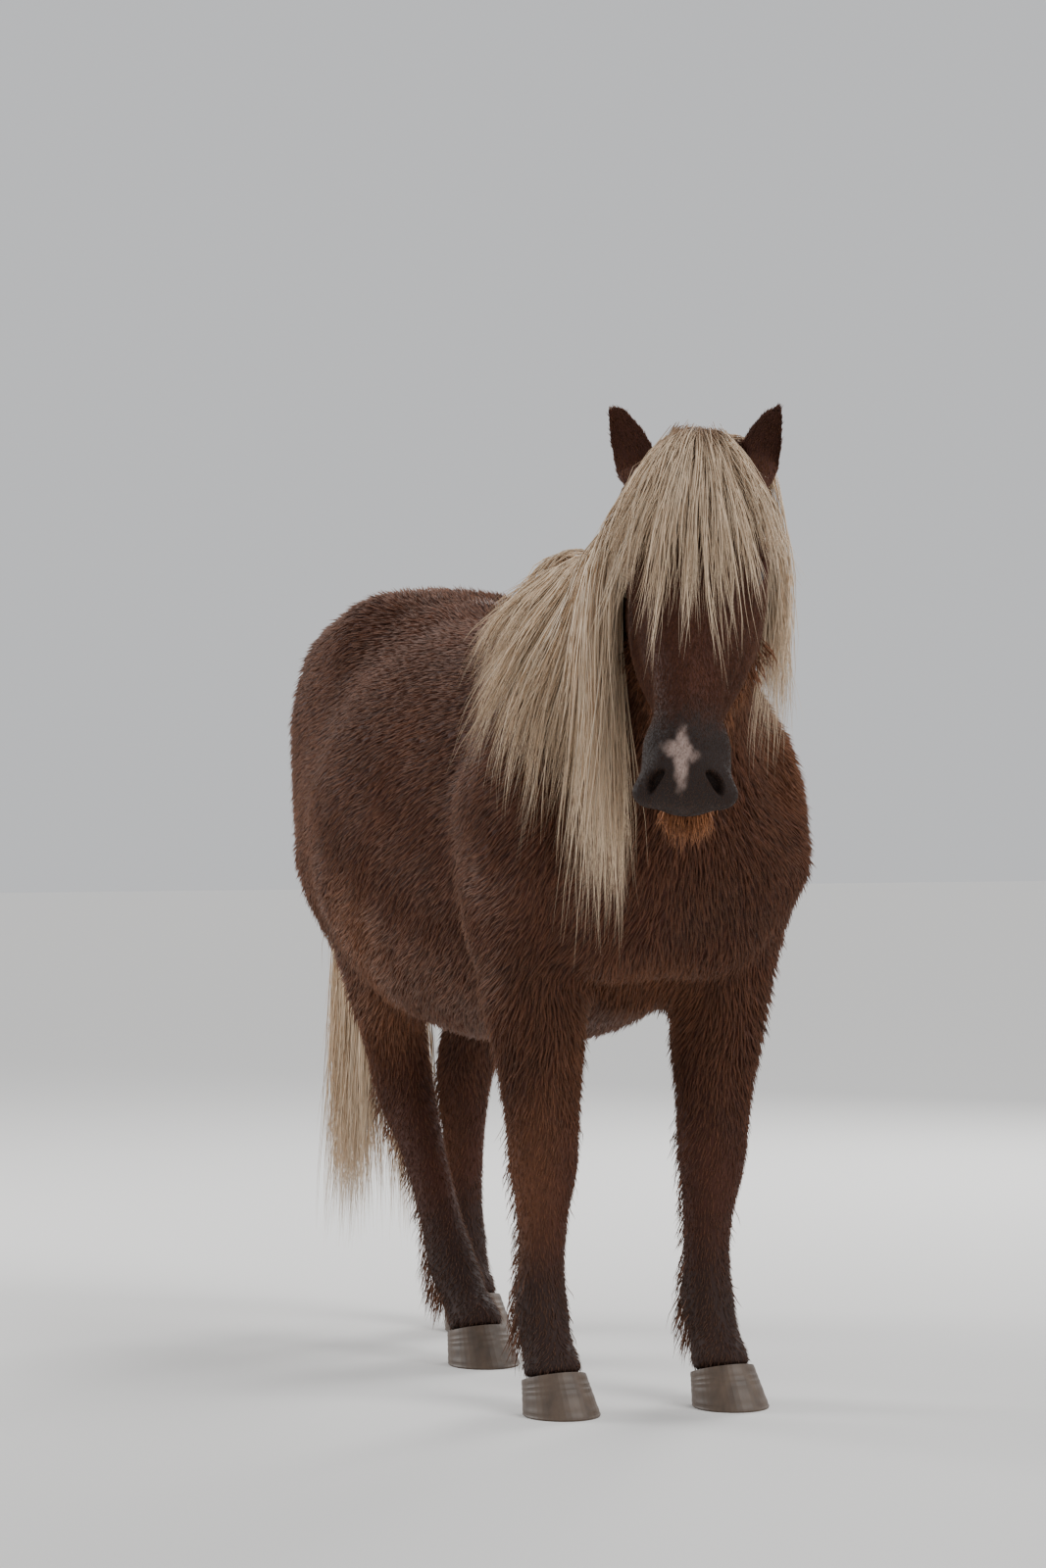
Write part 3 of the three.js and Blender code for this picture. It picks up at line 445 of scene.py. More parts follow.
coarse = skin_field(grid_points(SKIN_LOW + GRID, SKIN_BLOCKS, GRID * BLOCK)).reshape(SKIN_BLOCKS)
values = coarse.repeat(BLOCK, 0).repeat(BLOCK, 1).repeat(BLOCK, 2)
close = np.argwhere(abs(values) < NEAR_SKIN)
values[tuple(close.T)] = skin_field(SKIN_LOW + GRID * close)
points, quads = surface_net(values, SKIN_LOW)
points = drawn_onto_skin(points)
pairs = np.vstack([quads[:, [n, (n + 1) % 4]] for n in range(4)])
neighbours = np.bincount(pairs.ravel(), minlength=len(points))[:, None]
softness = 0.1 + 0.5 * ramp(points[:, 2], 0.5, 0.8)
softness *= 1 - ramp(past_throat(points), -0.06, 0.0) * ramp(points[:, 2], 0.9, 1.0)
for _ in range(SMOOTHING_PASSES):
    total = np.zeros_like(points)
    for axis in range(3):
        total[:, axis] += np.bincount(pairs[:, 0], points[pairs[:, 1], axis], len(points))
        total[:, axis] += np.bincount(pairs[:, 1], points[pairs[:, 0], axis], len(points))
    points += softness[:, None] * (total / neighbours - points)
mesh = bpy.data.meshes.new("skin")
mesh.from_pydata(points.tolist(), [], quads.tolist())
shape = bmesh.new()
shape.from_mesh(mesh)


def refine(inside, passes):
    """Divide the faces that lie inside, and draw their corners on to the skin again."""
    spots = np.array([v.co[:] for v in shape.verts])
    chosen = set(np.flatnonzero(inside(spots)).tolist())
    edges = [e for e in shape.edges if e.verts[0].index in chosen and e.verts[1].index in chosen]
    bmesh.ops.subdivide_edges(shape, edges=edges, cuts=1, use_grid_fill=True)
    shape.verts.index_update()
    spots = np.array([v.co[:] for v in shape.verts])
    moving = np.flatnonzero(inside(spots))
    spots[moving] = drawn_onto_skin(spots[moving], passes)
    for vertex, spot in zip(shape.verts, spots):
        vertex.co = spot


def on_head(spots):
    return (past_throat(spots) > 0) & (head_coordinates(spots)[:, 1] > -0.16)


def on_detail(spots):
    near = (head_coordinates(spots)[:, 1] > 0.47) | (ear_share(spots) > 0.2)
    for centre, _ in eyes.values():
        near |= np.linalg.norm(spots - centre, axis=1) < 0.042
    return near & on_head(spots)


refine(on_head, 3)
refine(on_detail, 4)
bmesh.ops.triangulate(shape, faces=[f for f in shape.faces if len(f.verts) > 4])
bmesh.ops.recalc_face_normals(shape, faces=shape.faces)
shape.to_mesh(mesh)
shape.free()
spots = np.array([v.co[:] for v in mesh.vertices])

# Folds of the head
# Skin and gristle fold in to each ear's cup, between the lids, in to the nostrils and at the lips.
# The folds are pressed in to the finished skin: the nostrils are deep commas, the mouth is a groove.
EAR_CUP = 1.7
LID_GAP = 0.0008
LID_STEEPNESS = 0.06
SOCKET_SINK = 0.003
CREASE_RISE = 0.0225
CREASE_HALF = 0.0026
NOSTRIL_SIDE = 0.046
NOSTRIL_DOWN = 0.550
NOSTRIL_LONG = 0.021
NOSTRIL_WIDE = 0.0105
NOSTRIL_CURL = 9.0
NOSTRIL_DEEP = 0.020
MOUTH_OUT = -0.104
MOUTH_SLOPE = 0.10
MOUTH_HALF = 0.0032
MOUTH_DEEP = 0.008
UNDER_NOSE = -0.095
for origin, axis, wide, front in ear_frames.values():
    local = spots - origin
    t = local @ axis / EAR_LENGTH
    depth = local @ front - ear_bow(np.clip(t, 0, 1))
    cupped = (t > 0.05) & (t < 1.1) & (abs(local @ wide) < 1.2 * EAR_HALF) & (depth > 0) & (depth < EAR_HALF)
    press = depth * EAR_CUP * ramp(t, 0.10, 0.34) * ramp(1 - t, 0.0, 0.12) * cupped
    spots -= press[:, None] * front
for centre, along, over, outward in eye_frames.values():
    local = spots - centre
    away = np.linalg.norm(local, axis=1)
    front_side = (local @ outward > 0) & (away < 2.0 * EYE_RADIUS)
    on_ball = unit(local) * EYE_RADIUS
    x, y = on_ball @ along, on_ball @ over
    rise = np.where(y > 0, LID_RISE[1], LID_RISE[-1])
    reach = np.sqrt((x / LID_REACH) ** 2 + (y / rise) ** 2) + 1e-6
    inner = front_side & (reach < 1)
    to_edge = inner & (reach > 0.75)
    outer = front_side & (reach >= 1) & (reach < 1.3)
    slide = np.ones(len(spots))
    slide[to_edge] = np.maximum(reach[to_edge], 0.96) / reach[to_edge]
    slide[outer] = (1.0 + (reach[outer] - 1) * 0.6) / reach[outer]
    x, y = x * slide, y * slide
    z = np.sqrt(np.maximum(EYE_RADIUS ** 2 - x * x - y * y, 0))
    towards = unit(x[:, None] * along + y[:, None] * over + z[:, None] * outward)
    rim = EYE_RADIUS + LID_GAP + LID_STEEPNESS * np.maximum(reach - 1, 0)
    away = np.where(inner, EYE_RADIUS - SOCKET_SINK, np.minimum(away, rim))
    beside, above = local @ along, local @ over
    fold = np.exp(-((above - CREASE_RISE + 9.0 * beside ** 2) / CREASE_HALF) ** 2)
    away *= 1 - 0.08 * fold * ramp(-abs(beside), -0.026, -0.016)
    spots[front_side] = (centre + towards * away[:, None])[front_side]
normals = np.array([v.normal[:] for v in mesh.vertices])
across, down, out = head_coordinates(spots).T
for side in (1, -1):
    beside = across * side - NOSTRIL_SIDE
    below = down - NOSTRIL_DOWN
    lengthways = 0.62 * beside + 0.78 * below
    sideways = 0.78 * beside - 0.62 * below + NOSTRIL_CURL * lengthways ** 2
    pit = ramp(-np.hypot(lengthways / NOSTRIL_LONG, sideways / NOSTRIL_WIDE), -1.0, -0.5) * (out > UNDER_NOSE)
    outwards = unit(side * 0.35 * ACROSS + 0.35 * DOWN_FACE + 0.85 * OUT_OF_FACE)
    spots -= (NOSTRIL_DEEP * pit)[:, None] * outwards
lip_line = out - MOUTH_OUT - MOUTH_SLOPE * (NOSTRIL_DOWN - down)
groove = np.exp(-(lip_line / MOUTH_HALF) ** 2) * ramp(down, 0.475, 0.50)
spots -= (MOUTH_DEEP * groove)[:, None] * normals


def add_object(name, data):
    item = bpy.data.objects.new(name, data)
    bpy.context.scene.collection.objects.link(item)
    return item


def shade_smooth(mesh):
    mesh.polygons.foreach_set("use_smooth", np.ones(len(mesh.polygons), bool))


mesh.vertices.foreach_set("co", (spots + SHIFT).ravel())
mesh.update()
shade_smooth(mesh)
skin = add_object("skin", mesh)


# Markings
# The coat is a dark chestnut, nearly black on muzzle and feet and lighter under the chin.
# A pale snip crosses the nose between the nostrils. Every value is kept on the skin's vertices.
def speckle(points, size, seed):
    """A soft pattern from -1 to 1 of five crossing waves of about this size."""
    phases = np.random.default_rng(seed).uniform(0, 6.28, (5, 3))
    total = 0
    for n in range(5):
        direction = np.roll([1.0, 0.6, -0.7], n) * (1 + 0.37 * n)
        total = total + np.sin(points @ direction / size + phases[n, 0])
    return total / 5


across, down, out = head_coordinates(spots).T
head_share = ramp(past_throat(spots), -0.03, 0.03) * ramp(down, -0.15, -0.08)
ragged = 0.010 * speckle(spots, 0.006, 3)
upright = np.hypot((across + 0.006) / 0.011, (down - 0.520) / 0.042)
crossbar = np.hypot((across + 0.008) / 0.025, (down - 0.512 - 0.25 * across) / 0.013)
pale = 0.85 * ramp(-np.minimum(upright, crossbar) + 25 * ragged, -1.35, -0.45)
pale = pale * (out > UNDER_NOSE) * head_share
dark_muzzle = ramp(down + 3 * ragged, 0.40, 0.49) * head_share
dark_feet = 0.75 * ramp(-spots[:, 2] + 4 * ragged, -0.34, -0.16)
dark = np.maximum(dark_muzzle, dark_feet)
light_chin = ramp(-out, 0.108, 0.128) * ramp(down, 0.40, 0.47) * head_share * 0.8
light_clouds = 0.35 * ramp(speckle(spots, 0.16, 5), 0.1, 0.7) * (1 - head_share)
light = np.maximum(light_chin, light_clouds)


# Lie of the coat
# The hair runs back and down over the trunk, down the legs and from the forehead to the nose.
# Its length, width and number change from the shaggy belly to the fine hair of the face.
LIE_ON_TRUNK = np.array([0.0, 0.72, -0.62])
LIE_ON_NECK = np.array([0.05, 0.42, -0.85])
LIE_ON_LEGS = np.array([0.0, 0.18, -1.0])
normals = np.empty(len(spots) * 3)
mesh.vertices.foreach_get("normal", normals)
normals = normals.reshape(-1, 3)
x, y, z = spots.T
leg_share = ramp(-z, -0.72, -0.50) * (1 - head_share)
neck_share = ramp(-(y + 0.35) + 0.6 * (z - 1.1), 0.0, 0.30) * ramp(z, 0.75, 1.0) * (1 - head_share)
lie = np.tile(LIE_ON_TRUNK, (len(spots), 1))
lie += neck_share[:, None] * (LIE_ON_NECK - lie)
lie += leg_share[:, None] * (LIE_ON_LEGS - lie)
cheek = ramp(-out, 0.09, 0.16)
lie += head_share[:, None] * (DOWN_FACE - 0.55 * cheek[:, None] * OUT_OF_FACE - lie)
ears = ear_share(spots)
for origin, axis, _, _ in ear_frames.values():
    nearby = (np.linalg.norm(spots - origin, axis=1) < 1.2 * EAR_LENGTH) & (ears > 0.05)
    lie[nearby] = axis
swirl = np.stack([speckle(spots, 0.05, 11), speckle(spots, 0.06, 12), speckle(spots, 0.05, 13)], 1)
lie = lie + 0.35 * swirl * (1 - 0.6 * head_share)[:, None]
lie = unit(lie - (lie * normals).sum(1, keepdims=True) * normals)

TRUNK_FUR = 0.027
BELLY_EXTRA = 0.010
NECK_EXTRA = 0.005
JAW_EXTRA = 0.018
LEG_FUR = 0.013
FACE_FUR = 0.0085
NOSE_LOSS = 0.005
EAR_FUR = 0.009
belly = ramp(-z, -0.80, -0.66) * (1 - leg_share)
jaw = ramp(-out, 0.15, 0.23) * ramp(0.40 - down, 0.0, 0.10)
fur = TRUNK_FUR + BELLY_EXTRA * belly + NECK_EXTRA * neck_share
fur += (LEG_FUR - fur) * ramp(-z, -0.62, -0.35)
face_fur = FACE_FUR - NOSE_LOSS * ramp(down, 0.40, 0.50) + JAW_EXTRA * jaw
fur += (face_fur - fur) * head_share
fur += (EAR_FUR - fur) * ears

TRUNK_TUFTS = 25000
NECK_TUFTS_MORE = 9000
LEG_TUFTS_MORE = 4500
HEAD_TUFTS = 115000
MUZZLE_TUFTS_MORE = 60000
bare = np.ones(len(spots))
for centre, along, over, outward in eye_frames.values():
    local = spots - centre
    ring = np.hypot(local @ along / LID_REACH, local @ over / 0.0115)
    bare *= ramp(ring - 1.35 * (local @ outward > 0), 0.0, 0.5)
inside_ear = np.zeros(len(spots))
for origin, axis, wide, front in ear_frames.values():
    t = (spots - origin) @ axis / EAR_LENGTH
    inside_ear = np.maximum(inside_ear, (normals @ front > 0.1) * (ears > 0.5) * ramp(t, 0.1, 0.25))
thickness = TRUNK_TUFTS + NECK_TUFTS_MORE * neck_share + LEG_TUFTS_MORE * leg_share
thickness += (HEAD_TUFTS - thickness) * head_share
thickness += MUZZLE_TUFTS_MORE * ramp(down, 0.42, 0.48) * head_share
thickness *= bare * (1 - 0.5 * inside_ear) * (1 - groove * head_share)
thickness *= 1 - ramp(-z, -0.075, -0.055) * 0.3

TRUNK_BANDS = (-0.30, -0.02, 0.26)
REGIONS = {"head": 0, "neck_right": 1, "neck_left": 2, "legs_fore": 3, "legs_hind": 4}
FIRST_TRUNK_REGION = 5
LEG_TOP = 0.60
NECK_ROOT = np.array([0, -0.56, 1.13])
NECK_NORMAL = np.array([-0.1, -0.82, 0.56])
middles = np.empty(len(mesh.polygons) * 3)
mesh.polygons.foreach_get("center", middles)
middles = middles.reshape(-1, 3) - SHIFT
region = FIRST_TRUNK_REGION + 2 * np.digitize(middles[:, 1], TRUNK_BANDS) + (middles[:, 0] > 0)
low_legs = middles[:, 2] < LEG_TOP
region[low_legs] = np.where(middles[low_legs, 1] < -0.15, REGIONS["legs_fore"], REGIONS["legs_hind"])
on_neck = ((middles - NECK_ROOT) @ NECK_NORMAL > 0) & (middles[:, 2] > 0.7)
region[on_neck] = np.where(middles[on_neck, 0] > -0.03, REGIONS["neck_left"], REGIONS["neck_right"])
region[on_head(middles)] = REGIONS["head"]


def keep(mesh, name, values, kind="FLOAT", domain="POINT"):
    """Keep a value for each vertex or face of a mesh, for its material or its tufts."""
    attribute = mesh.attributes.new(name, kind, domain)
    values = np.ravel(values).astype(np.int32 if kind == "INT" else np.float32)
    attribute.data.foreach_set("vector" if kind == "FLOAT_VECTOR" else "value", values)


keep(mesh, "lie", lie, "FLOAT_VECTOR")
for name, values in {"fur": fur, "thickness": thickness, "dark": dark, "pale": pale, "light": light}.items():
    keep(mesh, name, values)
keep(mesh, "region", region, "INT", "FACE")

for chosen in bpy.context.selected_objects:
    chosen.select_set(False)
bpy.context.view_layer.objects.active = skin
skin.select_set(True)
mesh.uv_layers.new(name="OFBake")
bpy.ops.object.mode_set(mode="EDIT")
bpy.ops.mesh.select_all(action="SELECT")
bpy.ops.uv.smart_project(angle_limit=math.radians(66), island_margin=0.002)
bpy.ops.object.mode_set(mode="OBJECT")
mesh = skin.data


# Colours
# Winter chestnut is patchy: deep red brown with redder clouds, pale tips, and a grey black muzzle.
# Mane and tail are flaxen with darker roots. Groups hold what skin, coat, hair and horn share.
CHESTNUT = (0.080, 0.021, 0.009, 1)
CHESTNUT_DEEP = (0.028, 0.008, 0.004, 1)
CHESTNUT_LIGHT = (0.380, 0.150, 0.060, 1)
CHESTNUT_TIP = (0.30, 0.13, 0.060, 1)
MUZZLE_BLACK = (0.018, 0.010, 0.008, 1)
SNIP = (0.40, 0.29, 0.25, 1)
FLAXEN_ROOT = (0.34, 0.20, 0.11, 1)
FLAXEN = (0.74, 0.56, 0.385, 1)


def new_group(name, outputs, inputs=()):
    group = bpy.data.node_groups.new(name, "ShaderNodeTree")
    for label, kind in outputs:
        group.interface.new_socket(label, in_out="OUTPUT", socket_type=kind)
    for label, kind in inputs:
        group.interface.new_socket(label, in_out="INPUT", socket_type=kind)
    return group


def add(tree, kind, **settings):
    node = tree.nodes.new(kind)
    for name, value in settings.items():
        setattr(node, name, value)
    return node


def feed(tree, value, socket):
    """Link a node's output to a socket, or set a plain value on it."""
    if isinstance(value, bpy.types.NodeSocket):
        tree.links.new(value, socket)
    else:
        socket.default_value = value


def mix_colours(tree, factor, first, second):
    node = add(tree, "ShaderNodeMix", data_type="RGBA")
    for number, value in ((0, factor), (6, first), (7, second)):
        feed(tree, value, node.inputs[number])
    return node.outputs[2]


def product(tree, first, second):
    node = add(tree, "ShaderNodeMath", operation="MULTIPLY")
    feed(tree, first, node.inputs[0])
    feed(tree, second, node.inputs[1])
    return node.outputs[0]


def vertex_value(tree, name):
    return add(tree, "ShaderNodeAttribute", attribute_name=name).outputs["Fac"]


def noise(tree, place, scale, detail=2.0):
    node = add(tree, "ShaderNodeTexNoise")
    for label, value in (("Vector", place), ("Scale", scale), ("Detail", detail)):
        feed(tree, value, node.inputs[label])
    return node.outputs["Fac"]


def place_group(tree, group, **values):
    node = add(tree, "ShaderNodeGroup")
    node.node_tree = group
    for label, value in values.items():
        feed(tree, value, node.inputs[label])
    return node.outputs[0]


markings = new_group("chestnut markings", [("Colour", "NodeSocketColor")])
place = add(markings, "ShaderNodeTexCoord").outputs["Object"]
colour = mix_colours(markings, noise(markings, place, 9.0, 5.0), CHESTNUT_DEEP, CHESTNUT)
light_share = product(markings, vertex_value(markings, "light"), noise(markings, place, 160.0))
colour = mix_colours(markings, vertex_value(markings, "dark"), colour, MUZZLE_BLACK)
colour = mix_colours(markings, light_share, colour, CHESTNUT_LIGHT)
colour = mix_colours(markings, vertex_value(markings, "pale"), colour, SNIP)
markings.links.new(colour, add(markings, "NodeGroupOutput").inputs["Colour"])

strand_tone = new_group("tone of a strand", [("Colour", "NodeSocketColor")],
                        [("Colour", "NodeSocketColor"), ("Darkest", "NodeSocketFloat"),
                         ("Palest", "NodeSocketFloat")])
given = add(strand_tone, "NodeGroupInput").outputs
toned = add(strand_tone, "ShaderNodeMapRange")
strand_tone.links.new(vertex_value(strand_tone, "tone"), toned.inputs["Value"])
strand_tone.links.new(given["Darkest"], toned.inputs["To Min"])
strand_tone.links.new(given["Palest"], toned.inputs["To Max"])
varied = add(strand_tone, "ShaderNodeHueSaturation")
strand_tone.links.new(toned.outputs["Result"], varied.inputs["Value"])
strand_tone.links.new(given["Colour"], varied.inputs["Color"])
strand_tone.links.new(varied.outputs["Color"], add(strand_tone, "NodeGroupOutput").inputs["Colour"])

grain = new_group("grain of hair and horn", [("Amount", "NodeSocketFloat")],
                  [("Stretch", "NodeSocketVector"), ("Scale", "NodeSocketFloat"),
                   ("Detail", "NodeSocketFloat")])
given = add(grain, "NodeGroupInput").outputs
stretched = add(grain, "ShaderNodeMapping")
grain.links.new(add(grain, "ShaderNodeTexCoord").outputs["Object"], stretched.inputs["Vector"])
grain.links.new(given["Stretch"], stretched.inputs["Scale"])
amount = noise(grain, stretched.outputs["Vector"], given["Scale"], given["Detail"])
grain.links.new(amount, add(grain, "NodeGroupOutput").inputs["Amount"])


def new_material(name, roughness, **settings):
    material = bpy.data.materials.new(name)
    material.use_nodes = True
    surface = material.node_tree.nodes["Principled BSDF"]
    surface.inputs["Roughness"].default_value = roughness
    for label, value in settings.items():
        surface.inputs[label.replace("_", " ")].default_value = value
    return material, material.node_tree, surface


skin_material, tree, surface = new_material("skin", 0.7, Specular_IOR_Level=0.3)
tree.links.new(place_group(tree, markings), surface.inputs["Base Color"])
short_hair = add(tree, "ShaderNodeBump")
short_hair.inputs["Strength"].default_value = 0.6
short_hair.inputs["Distance"].default_value = 0.002
tree.links.new(place_group(tree, grain, Stretch=(1.0, 1.0, 0.25), Scale=700.0, Detail=3.0),
               short_hair.inputs["Height"])
tree.links.new(short_hair.outputs["Normal"], surface.inputs["Normal"])
skin.data.materials.append(skin_material)

coat_material, tree, surface = new_material("coat", 0.6, Specular_IOR_Level=0.3, Sheen_Weight=0.10,
                                           Sheen_Roughness=0.4, Sheen_Tint=(0.90, 0.45, 0.25, 1))
tip_share = product(tree, vertex_value(tree, "along"), 0.30)
tipped = mix_colours(tree, tip_share, place_group(tree, markings), CHESTNUT_TIP)
tree.links.new(place_group(tree, strand_tone, Colour=tipped, Darkest=0.65, Palest=1.35),
               surface.inputs["Base Color"])

hair_material, tree, surface = new_material("flaxen hair", 0.5)
rooted = add(tree, "ShaderNodeMapRange", interpolation_type="SMOOTHSTEP")
rooted.inputs["From Max"].default_value = 0.28
tree.links.new(vertex_value(tree, "along"), rooted.inputs["Value"])
flaxen = mix_colours(tree, rooted.outputs["Result"], FLAXEN_ROOT, FLAXEN)
tree.links.new(place_group(tree, strand_tone, Colour=flaxen, Darkest=0.62, Palest=1.18),
               surface.inputs["Base Color"])


# Coat
# Winter hair stands on the skin in short tufts, each a tapered wisp that bends back along the lie.
# Every tuft takes its markings and its place in the unwrap from the skin at its root.
TUFT_BEND = -2.2
TUFT_SINK = -0.08
TUFT_SHAKE = 0.22
TUFT_FLATNESS = 0.6
TUFT_LENGTHS = (0.7, 1.25)
UNWRAP_PATCH = 0.003


def tuft_nodes(sections):
    tree = bpy.data.node_groups.new(f"tufts of {sections} sections", "GeometryNodeTree")
    tree.interface.new_socket("Geometry", in_out="OUTPUT", socket_type="NodeSocketGeometry")
    for label, kind in (("Geometry", "Geometry"), ("Region", "Int"), ("Seed", "Int"),
                        ("Material", "Material"), ("Slimness", "Float"), ("Lift", "Float")):
        tree.interface.new_socket(label, in_out="INPUT", socket_type=f"NodeSocket{kind}")
    link = tree.links.new
    given = add(tree, "NodeGroupInput").outputs

    def named(name, kind="FLOAT"):
        node = add(tree, "GeometryNodeInputNamedAttribute", data_type=kind)
        node.inputs["Name"].default_value = name
        return node.outputs["Attribute"]

    def store(geometry, name, kind, domain, value):
        node = add(tree, "GeometryNodeStoreNamedAttribute", data_type=kind, domain=domain)
        node.inputs["Name"].default_value = name
        link(geometry, node.inputs["Geometry"])
        link(value, node.inputs["Value"])
        return node.outputs["Geometry"]

    def vector(operation, first, second=None, scale=None):
        node = add(tree, "ShaderNodeVectorMath", operation=operation)
        for number, value in ((0, first), (1, second), (3, scale)):
            if value is not None:
                feed(tree, value, node.inputs[number])
        return node.outputs["Vector"]

    def combined(x, y, z):
        node = add(tree, "ShaderNodeCombineXYZ")
        for number, value in enumerate((x, y, z)):
            feed(tree, value, node.inputs[number])
        return node.outputs[0]

    def random_value(low, high, offset, kind="FLOAT"):
        node = add(tree, "FunctionNodeRandomValue", data_type=kind)
        active = [s for s in node.inputs if s.enabled]
        active[0].default_value = low
        active[1].default_value = high
        seed = add(tree, "ShaderNodeMath", operation="ADD")
        seed.inputs[1].default_value = offset
        link(given["Seed"], seed.inputs[0])
        link(seed.outputs[0], node.inputs["Seed"])
        return next(s for s in node.outputs if s.enabled)

    wisp = add(tree, "GeometryNodeMeshCone", fill_type="NONE")
    for label, value in (("Vertices", 3), ("Side Segments", sections), ("Radius Top", 0.0),
                         ("Radius Bottom", 1.0), ("Depth", 1.0)):
        wisp.inputs[label].default_value = value
    spot = add(tree, "GeometryNodeInputPosition").outputs[0]
    parts = add(tree, "ShaderNodeSeparateXYZ")
    link(spot, parts.inputs[0])
    square = add(tree, "ShaderNodeMath", operation="POWER")
    square.inputs[1].default_value = 2.0
    link(parts.outputs["Z"], square.inputs[0])
    marked = store(wisp.outputs["Mesh"], "along", "FLOAT", "POINT", parts.outputs["Z"])
    patch = vector("SCALE", spot, scale=UNWRAP_PATCH / 2)
    marked = store(marked, "patch", "FLOAT_VECTOR", "CORNER", patch)
    bent = add(tree, "GeometryNodeSetPosition")
    link(marked, bent.inputs["Geometry"])
    link(combined(product(tree, square.outputs[0], TUFT_BEND), 0.0, TUFT_SINK), bent.inputs["Offset"])

    chosen = add(tree, "FunctionNodeCompare", data_type="INT", operation="EQUAL")
    sockets = [s for s in chosen.inputs if s.enabled]
    link(named("region", "INT"), sockets[0])
    link(given["Region"], sockets[1])
    roots = add(tree, "GeometryNodeDistributePointsOnFaces")
    link(given["Geometry"], roots.inputs["Mesh"])
    link(chosen.outputs[0], roots.inputs["Selection"])
    link(named("thickness"), roots.inputs["Density"])
    link(given["Seed"], roots.inputs["Seed"])

    lifted = vector("SCALE", roots.outputs["Normal"], scale=given["Lift"])
    shaken = vector("ADD", lifted, random_value((-TUFT_SHAKE,) * 3, (TUFT_SHAKE,) * 3, 1, "FLOAT_VECTOR"))
    grown = vector("NORMALIZE", vector("ADD", named("lie", "FLOAT_VECTOR"), shaken))
    turned = add(tree, "FunctionNodeAxesToRotation", primary_axis="Z", secondary_axis="X")
    link(grown, turned.inputs["Primary Axis"])
    link(roots.outputs["Normal"], turned.inputs["Secondary Axis"])
    length = product(tree, named("fur"), random_value(*TUFT_LENGTHS, 2))
    width = product(tree, named("fur"), given["Slimness"])
    toned = store(roots.outputs["Points"], "tone", "FLOAT", "POINT", random_value(0.0, 1.0, 3))
    placed = add(tree, "GeometryNodeInstanceOnPoints")
    link(toned, placed.inputs["Points"])
    link(bent.outputs["Geometry"], placed.inputs["Instance"])
    link(turned.outputs["Rotation"], placed.inputs["Rotation"])
    link(combined(product(tree, width, TUFT_FLATNESS), width, length), placed.inputs["Scale"])
    realized = add(tree, "GeometryNodeRealizeInstances")
    link(placed.outputs["Instances"], realized.inputs["Geometry"])
    unwrap = vector("ADD", named("OFBake", "FLOAT_VECTOR"), named("patch", "FLOAT_VECTOR"))
    unwrapped = store(realized.outputs["Geometry"], "OFBake", "FLOAT2", "CORNER", unwrap)
    smooth = add(tree, "GeometryNodeSetShadeSmooth")
    link(unwrapped, smooth.inputs["Geometry"])
    painted = add(tree, "GeometryNodeSetMaterial")
    link(smooth.outputs["Geometry"], painted.inputs["Geometry"])
    link(given["Material"], painted.inputs["Material"])
    link(painted.outputs["Geometry"], add(tree, "NodeGroupOutput").inputs["Geometry"])
    return tree


def grow_tufts(name, region, tree, slimness, lift):
    modifier = skin.modifiers.new("tufts", "NODES")
    modifier.node_group = tree
    values = {"Region": region, "Seed": 40 + region, "Material": coat_material,
              "Slimness": slimness, "Lift": lift}
    for socket in tree.interface.items_tree:
        if socket.name in values:
            modifier[socket.identifier] = values[socket.name]
    graph = bpy.context.evaluated_depsgraph_get()
    grown = bpy.data.meshes.new_from_object(skin.evaluated_get(graph))
    skin.modifiers.remove(modifier)
    piece = add_object(name, grown)
    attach(piece, "root")


long_tufts = tuft_nodes(2)
short_tufts = tuft_nodes(1)
grow_tufts("coat_head", REGIONS["head"], short_tufts, 0.15, 0.42)
for name in ("neck_right", "neck_left", "legs_fore", "legs_hind"):
    grow_tufts(f"coat_{name}", REGIONS[name], long_tufts, 0.10, 0.50)
for band in range(len(TRUNK_BANDS) + 1):
    for half, side in enumerate(("right", "left")):
        number = FIRST_TRUNK_REGION + 2 * band + half
        grow_tufts(f"coat_trunk_{side}_{band}", number, long_tufts, 0.095, 0.48)
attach(skin, "root")
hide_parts("head", "ear_left", "ear_right", "neck", "torso", "leg_fore_left", "leg_fore_right",
            "leg_hind_left", "leg_hind_right")


# Long hair
# Mane, forelock and tail are bundles of fine strands, drawn together into locks along a guide line.
# Feathers, beard and jaw fringe are single strands, and each of them follows a guide of its own.
# A guide leaves its root, bends towards its fall and keeps its distance from the body.
BEND_STEP = 0.02
LARGEST_PUSH = 0.03
STRAND_FLATNESS = 0.6
rng = np.random.default_rng(7)
skin_tree = kdtree.KDTree(len(spots))
for number, spot in enumerate(spots):
    skin_tree.insert(spot, number)
skin_tree.balance()
corner_vertex = np.empty(len(mesh.loops), int)
mesh.loops.foreach_get("vertex_index", corner_vertex)
corner_uv = np.empty(len(mesh.loops) * 2)
mesh.uv_layers["OFBake"].uv.foreach_get("vector", corner_uv)
vertex_uv = np.zeros((len(spots), 2))
vertex_uv[corner_vertex] = corner_uv.reshape(-1, 2)


def pushed_out(points, clear, shapes=forms):
    """Points that lie nearer to the body than the clear distance, moved away from it."""
    gap, out = slope(points, lambda p: field(p, shapes))
    return points + unit(out) * np.clip(clear - gap, 0, LARGEST_PUSH)[:, None]


